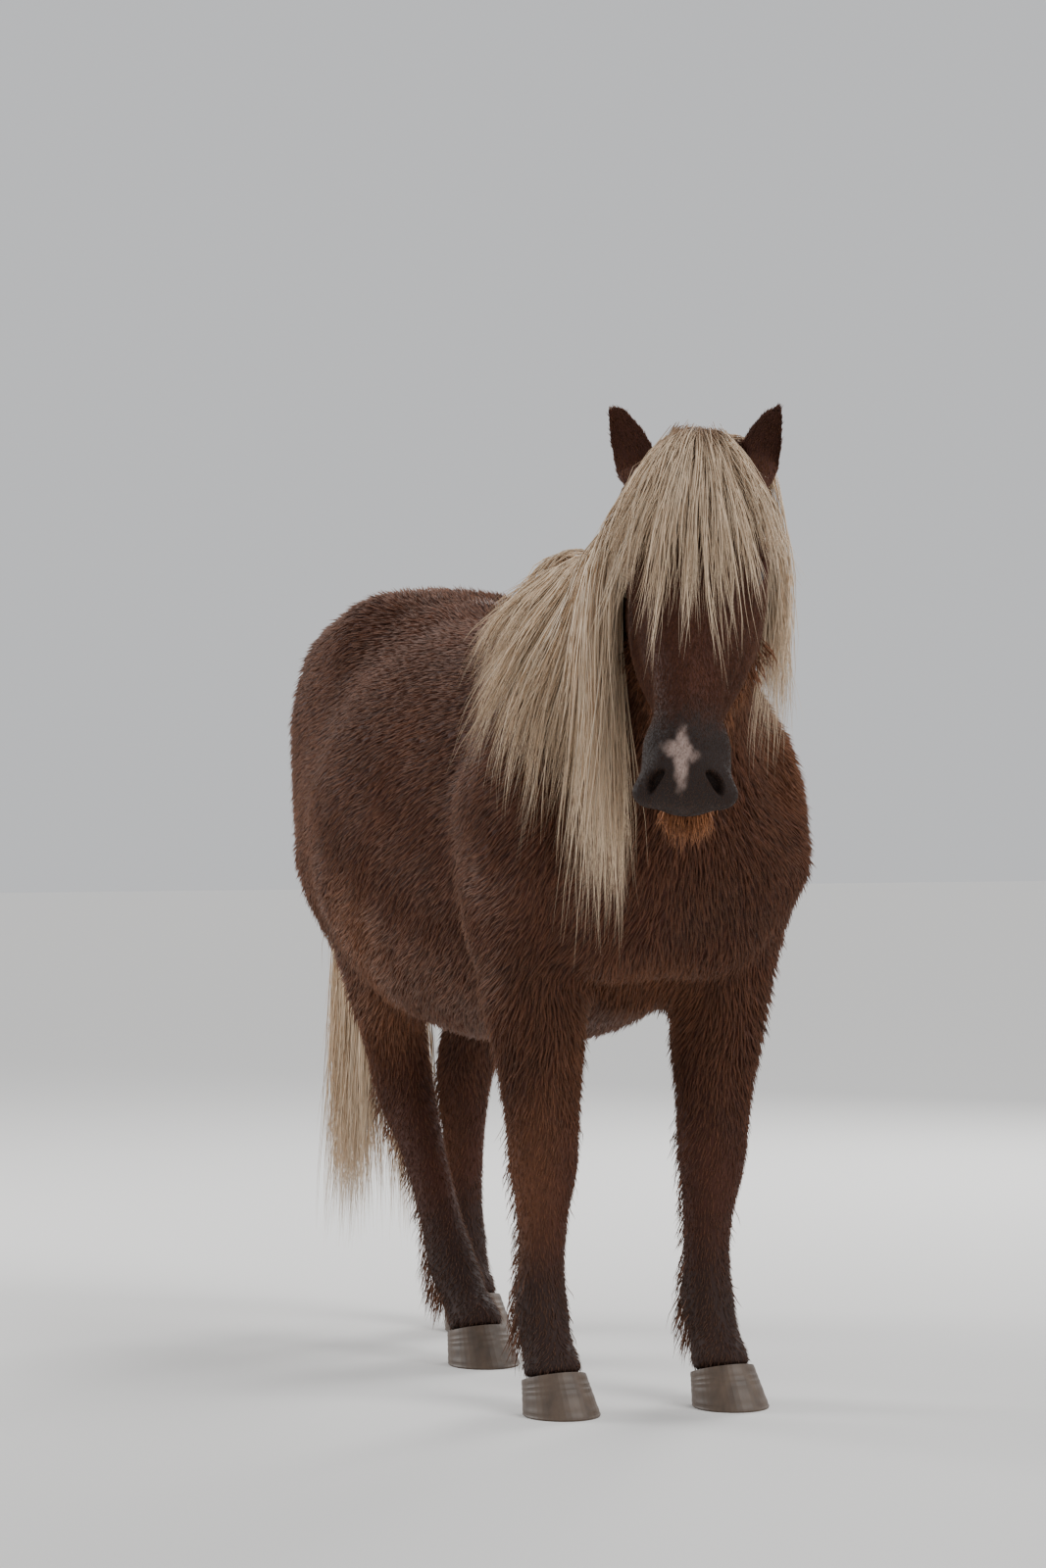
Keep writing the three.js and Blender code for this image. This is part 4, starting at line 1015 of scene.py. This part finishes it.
def guide_lines(roots, leave, fall, length, bend, clear, shapes=forms, steps=15):
    place = np.array(roots, float)
    heading = unit(np.array(leave, float))
    fall = unit(np.array(fall, float))
    step = (np.asarray(length) / steps)[:, None]
    turn = 1 - (1 - bend) ** (step / BEND_STEP)
    line = [place.copy()]
    for i in range(1, steps + 1):
        heading = unit(heading * (1 - turn) + fall * turn)
        before = place
        place = place + heading * step
        for _ in range(2):
            place = pushed_out(place, clear * min(i / 3, 1), shapes)
        heading = unit(place - before)
        line.append(place.copy())
    return np.stack(line, 1)


def strands(lines, number, spread, gather, sections, wave=0.006, shortest=0.62):
    """Strands round each guide line: apart at the root and tip, drawn together between."""
    count, steps, _ = lines.shape
    lines = np.repeat(lines, number, 0)
    total = count * number
    t = np.linspace(0, 1, sections + 1)
    reach = rng.uniform(shortest, 1.0, (total, 1)) ** 0.6
    at = np.clip(t[None] * reach * (steps - 1), 0, steps - 1.001)
    lower = at.astype(int)
    share = (at - lower)[..., None]
    row = np.arange(total)[:, None]
    path = lines[row, lower] * (1 - share) + lines[row, lower + 1] * share
    offset = rng.normal(0, 1, (total, 1, 3)) * spread
    apart = (1 - gather * np.sin(math.pi * np.clip(t * 1.1, 0, 1)) ** 0.7)[None, :, None]
    path = path + offset * apart
    phase = rng.uniform(0, 2 * math.pi, (total, 1, 3))
    beat = rng.uniform(3.0, 7.0, (total, 1, 3))
    return path + wave * t[None, :, None] * np.sin(beat * t[None, :, None] + phase)


def kept_outside(path, clear):
    return pushed_out(path.reshape(-1, 3), clear).reshape(path.shape)


def new_mesh(name, vertices, faces, material):
    new = bpy.data.meshes.new(name)
    new.from_pydata(vertices.tolist(), [], faces)
    new.materials.append(material)
    return new


def hair_piece(name, paths, radius, material, slot, **marks):
    """Three-sided strands along the paths, with what their material and the unwrap need."""
    count, rings, _ = paths.shape
    t = np.linspace(0, 1, rings)
    along = unit(np.gradient(paths, axis=1))
    side = unit(np.cross(along, rng.normal(0, 1, (count, 1, 3))))
    up = np.cross(side, along)
    taper = (0.55 + 0.75 * np.sin(math.pi * t ** 0.8) ** 0.5) * (1 - t ** 3) + 0.04
    wide = (radius * rng.uniform(0.7, 1.3, (count, 1)) * taper)[..., None]
    corners = []
    for angle in (0, 2 * math.pi / 3, 4 * math.pi / 3):
        corners.append(paths + side * math.cos(angle) * wide + up * math.sin(angle) * wide * STRAND_FLATNESS)
    vertices = np.stack(corners, 2).reshape(-1, 3) + SHIFT
    base = np.arange(count)[:, None, None] * rings * 3 + np.arange(rings - 1)[None, :, None] * 3
    corner = np.arange(3)[None, None]
    after = (corner + 1) % 3
    faces = np.stack([base + corner, base + after, base + 3 + after, base + 3 + corner], -1).reshape(-1, 4)
    strand_mesh = new_mesh(name, vertices, faces.tolist(), material)
    shade_smooth(strand_mesh)
    lengthways = np.broadcast_to(t[None, :, None], (count, rings, 3))
    keep(strand_mesh, "along", lengthways)
    keep(strand_mesh, "tone", np.broadcast_to(rng.uniform(0, 1, (count, 1, 1)), (count, rings, 3)))
    for mark, amount in marks.items():
        keep(strand_mesh, mark, np.full((count, rings, 3), amount))
    nearest = [skin_tree.find(Vector(root))[1] for root in paths[:, 0]]
    crossways = np.broadcast_to(np.arange(3)[None, None] / 3, (count, rings, 3))
    patch = np.stack([crossways, lengthways], -1) * UNWRAP_PATCH
    uv = (vertex_uv[nearest][:, None, None] + patch).reshape(-1, 2)
    strand_mesh.uv_layers.new(name="OFBake").uv.foreach_set("vector", uv[faces.ravel()].ravel())
    piece = add_object(name, strand_mesh)
    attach(piece, "root")


# Mane
# Coarse flaxen hair grows along the crest of the neck and parts there.
# It is thick on the horse's right, where it hangs to the chest, and thinner on the left.
MANE_RADIUS = 0.00095
CREST = [(-0.002, -0.380, 1.372), (-0.022, -0.526, 1.394), (-0.045, -0.648, 1.456),
         (-0.066, -0.770, 1.516), (-0.088, -0.846, 1.540)]
crest = smooth_path(CREST, 12)
for side, name, count, number in ((-1, "mane_right", 130, 19), (1, "mane_left", 56, 16)):
    t = rng.uniform(0, 0.92, count) if side < 0 else rng.uniform(0.35, 0.92, count)
    layer = rng.uniform(0, 1, count)
    roots = crest[(t * (len(crest) - 1)).astype(int)]
    roots = roots + np.stack([side * rng.uniform(0.0, 0.03, count), rng.normal(0, 0.008, count),
                              np.full(count, -0.012)], 1)
    length = 0.29 + 0.52 * t ** 0.8 if side < 0 else 0.32 + 0.23 * t
    length = length * rng.uniform(0.72, 1.1, count)
    leave = np.stack([np.full(count, side), rng.normal(0, 0.25, count), rng.uniform(0.2, 0.9, count)], 1)
    backwards = rng.uniform(0.0, 0.22, count) * (1 - t) if side < 0 else np.full(count, 0.05)
    fall = np.stack([rng.normal(0, 0.05, count), backwards, -np.ones(count)], 1)
    guides = guide_lines(roots, leave, fall, length, 0.3, 0.006 + 0.034 * layer)
    mane = kept_outside(strands(guides, number, (0.008, 0.011, 0.005), 0.55, 9, 0.012), 0.004)
    hair_piece(name, mane, MANE_RADIUS, hair_material, "hair")

# Forelock
# The same flaxen hair, a little finer, springs from between the ears.
# It fans over the forehead and hangs to below the eyes, longest in the middle.
FORELOCK_RADIUS = 0.00085
FORELOCK_LOCKS = 95
FORELOCK_SHORT = 0.20
FORELOCK_EXTRA = 0.15
t = rng.uniform(-1, 1, FORELOCK_LOCKS)
row = rng.uniform(0, 2, FORELOCK_LOCKS)
roots = np.array([head_point(0.036 * a, -0.030 + 0.030 * b, -0.030 - 0.006 * b) for a, b in zip(t, row)])
leave = np.array([head_direction(0.22 * a, 0.5, 0.8) for a in t])
aside = 0.38 * t + rng.normal(0, 0.07, FORELOCK_LOCKS)
fall = np.array([head_direction(a, 1.0, -0.30) for a in aside])
length = (FORELOCK_SHORT + FORELOCK_EXTRA * (1 - abs(t)) ** 0.7) * rng.uniform(0.68, 1.30, FORELOCK_LOCKS)
guides = guide_lines(roots, leave, fall, length, 0.4, 0.004 + 0.018 * rng.uniform(0, 1, FORELOCK_LOCKS))
forelock = strands(guides, 14, (0.005, 0.005, 0.005), 0.6, 7, 0.008, shortest=0.45)
hair_piece("forelock", kept_outside(forelock, 0.003), FORELOCK_RADIUS, hair_material, "hair")

# Tail
# The dock is a short stem of bone and skin, hidden under its hair.
# The hair hangs from it in one long brush that ends above the pasterns.
DOCK = [(0, 0.56, 1.200, 0.040, 0.040), (0, 0.64, 1.172, 0.042, 0.042), (0, 0.69, 1.085, 0.046, 0.042),
        (0, 0.71, 0.950, 0.040, 0.032), (0.002, 0.716, 0.760, 0.034, 0.026),
        (0.006, 0.716, 0.560, 0.026, 0.018)]
DOCK_CELLS = (16, 36, 76)
DOCK_LOW = np.array([-0.08, 0.48, 0.50])
DOCK_SINK = 0.008
TAIL_RADIUS = 0.0011
TAIL_LOCKS = 150
TAIL_END = 0.135
TAIL_LOWEST = 0.115
dock = []
form(DOCK, into=dock)
dock_values = field(grid_points(DOCK_LOW, DOCK_CELLS, GRID), dock).reshape(DOCK_CELLS) + DOCK_SINK
dock_points, dock_quads = surface_net(dock_values, DOCK_LOW)
dock_mesh = new_mesh("dock", dock_points + SHIFT, dock_quads.tolist(), hair_material)
shade_smooth(dock_mesh)
dock_piece = add_object("dock", dock_mesh)
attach(dock_piece, "root")
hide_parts("tail")

dock_line = smooth_path(DOCK, 12)
share = rng.uniform(0.06, 0.80, TAIL_LOCKS)
turn = rng.uniform(0, 2 * math.pi, TAIL_LOCKS)
spot = dock_line[(share * (len(dock_line) - 1)).astype(int)]
round_dock = np.stack([np.sin(turn), 0.7 * np.cos(turn), np.zeros(TAIL_LOCKS)], 1)
round_dock[:, 1] = np.where(spot[:, 2] > 1.1, abs(round_dock[:, 1]), round_dock[:, 1])
roots = spot[:, :3] + round_dock * 0.022
length = np.maximum(roots[:, 2] - TAIL_END - rng.uniform(0, 0.17, TAIL_LOCKS) * abs(np.cos(turn)), 0.2)
short_ones = rng.uniform(0, 1, TAIL_LOCKS) < 0.25
length = length * np.where(short_ones, rng.uniform(0.55, 0.9, TAIL_LOCKS), 1.0)
leave = round_dock * 0.8 + np.array([0, 0.15, -1.0])
fall = np.stack([0.05 * round_dock[:, 0] + 0.010, 0.03 * round_dock[:, 1] - 0.012, -np.ones(TAIL_LOCKS)], 1)
guides = guide_lines(roots, leave, fall, length, 0.34, 0.002 + 0.012 * rng.uniform(0, 1, TAIL_LOCKS), dock)
tail = strands(kept_outside(guides, 0.012), 13, (0.010, 0.008, 0.004), 0.45, 9, 0.014, 0.75)
tail[..., 2] = np.maximum(tail[..., 2], TAIL_LOWEST)
hair_piece("tail_hair", tail, TAIL_RADIUS, hair_material, "hair")

# Feathers, beard and jaw fringe
# The coat grows longer behind each fetlock and up the cannon, from the chin and along the lower jaw.
# Every hair starts at the outline of the coat or just inside it, and soon hangs down.
FEATHER_RADIUS = 0.0008
FEATHER_HAIRS = 820
FEATHER_LOW = 0.115
FEATHER_RISE = 0.36
BEARD_RADIUS = 0.0009
BEARD_HAIRS = 760
FRINGE_HAIRS = 640
STRAY = (0.001, 0.001, 0.001)


def on_surface(points):
    """The points moved on to the body's outline, and the directions out of it there."""
    gap, out = slope(points)
    return points - unit(out) * gap[:, None], unit(out)


for leg, (x, y, *_) in feet.items():
    stations = np.array(leg_lines[leg])[::-1]
    height = FEATHER_LOW + FEATHER_RISE * rng.uniform(0, 1, FEATHER_HAIRS) ** 1.4
    turn = rng.normal(0, 0.6, FEATHER_HAIRS)
    middle = np.stack([np.interp(height, stations[:, 2], stations[:, n]) for n in range(2)] + [height], 1)
    back = np.stack([np.sin(turn), np.cos(turn), np.zeros(FEATHER_HAIRS)], 1)
    roots, _ = on_surface(middle + 0.045 * back)
    length = 0.026 + 0.034 * ramp(-height, -0.26, -0.15) * np.cos(turn)
    length = length + rng.uniform(0, 0.022, FEATHER_HAIRS)
    leave = back * rng.uniform(0.15, 0.65, (FEATHER_HAIRS, 1)) + rng.normal(0, 0.12, (FEATHER_HAIRS, 3))
    guides = guide_lines(roots - 0.004 * back, leave + [0, 0, -1.0], back * 0.14 + [0, 0, -1], length, 0.3,
                         np.full(FEATHER_HAIRS, -0.003), steps=6)
    feather = strands(guides, 1, STRAY, 0.0, 3, 0.003)
    feather[..., 2] = np.maximum(feather[..., 2], 0.012)
    hair_piece(f"feather_{leg}", feather, FEATHER_RADIUS, coat_material, "coat", dark=0.35, light=0.35)

t = rng.uniform(-1, 1, BEARD_HAIRS)
row = rng.uniform(0, 1, BEARD_HAIRS) ** 1.3
under_chin = [head_point(0.046 * a, 0.572 - 0.14 * b, -0.142 - 0.02 * b) for a, b in zip(t, row)]
roots, out = on_surface(np.array(under_chin))
length = rng.uniform(0.038, 0.078, BEARD_HAIRS) * (1 - 0.35 * abs(t))
leave = out * 0.5 + rng.normal(0, 0.15, (BEARD_HAIRS, 3)) + [0, 0, -1.0]
guides = guide_lines(roots - 0.003 * out, leave, np.tile([0, 0.05, -1.0], (BEARD_HAIRS, 1)), length, 0.3,
                     np.full(BEARD_HAIRS, -0.002), steps=6)
beard = strands(guides, 1, STRAY, 0.0, 4, 0.005)
hair_piece("beard", beard, BEARD_RADIUS, coat_material, "coat", dark=0.0, light=1.6)

side = np.where(rng.uniform(0, 1, FRINGE_HAIRS) < 0.5, -1, 1)
down_jaw = rng.uniform(0.22, 0.42, FRINGE_HAIRS)
from_middle = side * rng.uniform(0.005, 0.055, FRINGE_HAIRS)
under_jaw = [head_point(a, d, -0.235 + 0.42 * max(d - 0.24, 0)) for a, d in zip(from_middle, down_jaw)]
roots, out = on_surface(np.array(under_jaw))
leave = out + rng.normal(0, 0.15, (FRINGE_HAIRS, 3)) + [0, 0, -0.8]
length = rng.uniform(0.025, 0.055, FRINGE_HAIRS)
guides = guide_lines(roots, leave, np.tile([0, 0.15, -1.0], (FRINGE_HAIRS, 1)), length, 0.4,
                     np.full(FRINGE_HAIRS, -0.002), steps=6)
fringe = strands(guides, 1, STRAY, 0.0, 4, 0.005)
hair_piece("jaw_fringe", fringe, BEARD_RADIUS, coat_material, "coat", dark=0.0, light=0.6)


# Hooves
# Each is a low cone of dark brown horn, unshod, longer at the toe than at the heel.
# It grows down from the coronet, and fine growth rings run round its wall.
SOLE_HALF = 0.063
SOLE_DEEP = 0.066
SOLE_BACK = 0.038
SOLE_EDGE = 0.002
WALL_NARROWS = 0.013
WALL_SHALLOWS = 0.012
WALL_HEIGHT = 0.074
GROWTH_RING = 0.0003
AROUND = 40
HOOF_RINGS = 26
HORN_DARK = (0.035, 0.023, 0.016, 1)
HORN_PALE = (0.13, 0.085, 0.055, 1)
horn_material, tree, surface = new_material("horn", 0.5)
streaks = place_group(tree, grain, Stretch=(1.0, 1.0, 0.12), Scale=60.0, Detail=4.0)
tree.links.new(mix_colours(tree, streaks, HORN_DARK, HORN_PALE), surface.inputs["Base Color"])


def face_outwards(mesh):
    shape = bmesh.new()
    shape.from_mesh(mesh)
    bmesh.ops.recalc_face_normals(shape, faces=shape.faces)
    shape.to_mesh(mesh)
    shape.free()


angles = np.linspace(0, 2 * math.pi, AROUND, endpoint=False)
wall_top = HOOF_HEEL + (HOOF_TOE - HOOF_HEEL) * (1 + np.cos(angles)) / 2
for leg, (x, y, *_) in feet.items():
    rings = []
    for level in np.linspace(0, 1, HOOF_RINGS):
        ripple = GROWTH_RING * math.sin(level * 34 + 2 * math.sin(level * 9)) - SOLE_EDGE * (level < 0.03)
        z = level * wall_top
        t = z / WALL_HEIGHT
        across = SOLE_HALF - WALL_NARROWS * t + ripple
        deep = SOLE_DEEP - WALL_SHALLOWS * t + ripple
        middle = y - SOLE_BACK * (1 - t)
        rings.append(np.stack([x + across * np.sin(angles), middle - deep * np.cos(angles), z], 1))
    wall = np.vstack(rings)
    centres = np.array([[x, y - SOLE_BACK, 0.004], [x, y, (HOOF_HEEL + HOOF_TOE) / 2 - 0.006]])
    faces = []
    for ring in range(HOOF_RINGS - 1):
        for j in range(AROUND):
            a, b = ring * AROUND + j, ring * AROUND + (j + 1) % AROUND
            faces.append((a, b, b + AROUND, a + AROUND))
    last = (HOOF_RINGS - 1) * AROUND
    for j in range(AROUND):
        faces.append((len(wall), (j + 1) % AROUND, j))
        faces.append((len(wall) + 1, last + j, last + (j + 1) % AROUND))
    hoof_mesh = new_mesh(f"horn_{leg}", np.vstack([wall, centres]) + SHIFT, faces, horn_material)
    face_outwards(hoof_mesh)
    hoof = add_object(f"horn_{leg}", hoof_mesh)
    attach(hoof, "root")
    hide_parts(f"hoof_{leg}")


# Eyes and lids
# A moist, dark brown ball with a wide pupil sits behind the lids, and its cornea bulges a little.
# The lids' edges are smooth rolls of dark, hairless skin that lie on the ball.
PUPIL_LONG = 0.0068
PUPIL_HIGH = 0.0042
IRIS_RADIUS = 0.0120
IRIS_FADES = 0.0150
CORNEA_RISE = 0.035
IRIS_BROWN = (0.034, 0.013, 0.006, 1)
EYE_EDGE = (0.008, 0.005, 0.004, 1)
PUPIL_BLACK = (0.003, 0.003, 0.005, 1)
LID_SKIN = (0.020, 0.013, 0.011, 1)
LID_TURNS = 48
LID_SIDES = 8
LID_OFF_BALL = 0.0006
LID_OUT = 0.0016
LID_BROAD = 0.0026
LID_THICK = 0.0017
eye_material, tree, surface = new_material("eye", 0.06, Specular_IOR_Level=0.15, Coat_Weight=0.15,
                                          Coat_Roughness=0.02)
iris = mix_colours(tree, vertex_value(tree, "iris"), EYE_EDGE, IRIS_BROWN)
tree.links.new(mix_colours(tree, vertex_value(tree, "pupil"), iris, PUPIL_BLACK),
               surface.inputs["Base Color"])
lid_material, _, _ = new_material("lid", 0.45, Base_Color=LID_SKIN)
for name, (centre, along, over, outward) in eye_frames.items():
    axes = np.stack([along, over, outward])
    ball = bmesh.new()
    bmesh.ops.create_uvsphere(ball, u_segments=96, v_segments=64, radius=EYE_RADIUS)
    ball_mesh = bpy.data.meshes.new(f"eyeball_{name}")
    ball.to_mesh(ball_mesh)
    ball.free()
    local = np.array([v.co[:] for v in ball_mesh.vertices])
    cornea = 1 + CORNEA_RISE * ramp(local[:, 2] / EYE_RADIUS, 0.55, 0.95)
    ball_mesh.vertices.foreach_set("co", ((local * cornea[:, None]) @ axes + centre + SHIFT).ravel())
    in_front = local[:, 2] > 0
    from_pupil = np.hypot(local[:, 0] / PUPIL_LONG, local[:, 1] / PUPIL_HIGH)
    from_middle = np.hypot(local[:, 0], local[:, 1])
    keep(ball_mesh, "pupil", ramp(-from_pupil, -1.15, -0.85) * in_front)
    keep(ball_mesh, "iris", ramp(-from_middle, -IRIS_FADES, -IRIS_RADIUS) * in_front)
    shade_smooth(ball_mesh)
    ball_mesh.materials.append(eye_material)
    face_outwards(ball_mesh)
    eyeball = add_object(f"eyeball_{name}", ball_mesh)
    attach(eyeball, "root")
    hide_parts(f"eye_{name}")

    turns = np.linspace(0, 2 * math.pi, LID_TURNS, endpoint=False)
    rise = np.where(np.sin(turns) > 0, LID_RISE[1], LID_RISE[-1])
    x, y = LID_REACH * np.cos(turns), rise * np.sin(turns)
    edge = np.stack([x, y, np.sqrt((EYE_RADIUS + LID_OFF_BALL) ** 2 - x * x - y * y)], 1)
    away = unit(np.stack([np.cos(turns) / LID_REACH, np.sin(turns) / rise, np.zeros(LID_TURNS)], 1))
    roll = []
    for angle in np.linspace(0, 2 * math.pi, LID_SIDES, endpoint=False):
        broad = away * (LID_OUT + LID_BROAD * math.cos(angle))
        roll.append(edge + broad + unit(edge) * LID_THICK * math.sin(angle))
    lid_points = np.stack(roll, 1).reshape(-1, 3) @ axes + centre + SHIFT
    faces = []
    for i in range(LID_TURNS):
        for j in range(LID_SIDES):
            here, after = i * LID_SIDES, (i + 1) % LID_TURNS * LID_SIDES
            beside = (j + 1) % LID_SIDES
            faces.append((here + j, after + j, after + beside, here + beside))
    lid_mesh = new_mesh(f"lids_{name}", lid_points, faces, lid_material)
    shade_smooth(lid_mesh)
    face_outwards(lid_mesh)
    lids = add_object(f"lids_{name}", lid_mesh)
    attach(lids, "root")


# Studio
# A plain pale floor, a soft key light from the front left, and two large soft lamps behind the horse.
# The lamps rim its coat, and an even pale sky fills the shadows.
FLOOR_HALF = 30.0
FLOOR_PALE = (0.74, 0.73, 0.71, 1)
KEY_STRENGTH = 1.6
KEY_SPREAD = math.radians(30)
RIM_POWER = 170
RIM_SIZE = 2.0
SKY_PALE = (0.80, 0.81, 0.83, 1)
SKY_STRENGTH = 0.85
floor_material, _, _ = new_material("floor", 0.9, Base_Color=FLOOR_PALE)
corners = FLOOR_HALF * np.array([(-1, -1, 0), (1, -1, 0), (1, 1, 0), (-1, 1, 0)])
floor = add_object("floor", new_mesh("floor", corners, [(0, 1, 2, 3)], floor_material))


def aim(item, place, target):
    item.location = place
    item.rotation_euler = (Vector(target) - Vector(place)).to_track_quat("-Z", "Y").to_euler()


middle = Vector(SHIFT + np.array([0.0, -0.2, 0.9]))
key = bpy.data.lights.new("key", "SUN")
key.energy = KEY_STRENGTH
key.angle = KEY_SPREAD
aim(add_object("key", key), middle + Vector((2.5, -4.0, 4.0)), middle)
for name, place in (("rim_right", (-3.4, 3.6, 2.0)), ("rim_left", (3.6, 3.0, 2.0))):
    lamp = bpy.data.lights.new(name, "AREA")
    lamp.size = RIM_SIZE
    lamp.energy = RIM_POWER
    aim(add_object(name, lamp), middle + Vector(place), middle)
world = bpy.data.worlds.new("studio")
world.use_nodes = True
sky = world.node_tree.nodes["Background"]
sky.inputs["Color"].default_value = SKY_PALE
sky.inputs["Strength"].default_value = SKY_STRENGTH
bpy.context.scene.world = world

# Camera
# It stands at the height of the horse's chest, ahead of it and to its right.
# It looks almost level, through a lens of 85 mm.
CAMERA_TURN = math.radians(24)
CAMERA_DISTANCE = 6.47
CAMERA_HEIGHT = 1.006
CAMERA_RISE = math.radians(0.12)
lens = bpy.data.cameras.new("camera")
lens.lens = 85
lens.sensor_width = 36
camera = add_object("camera", lens)
view = np.array([math.sin(CAMERA_TURN), math.cos(CAMERA_TURN), 0.0])
camera_place = SHIFT - CAMERA_DISTANCE * view + np.array([0.0, 0.0, CAMERA_HEIGHT])
aim(camera, camera_place, camera_place + view + np.array([0.0, 0.0, math.tan(CAMERA_RISE)]))
bpy.context.scene.camera = camera
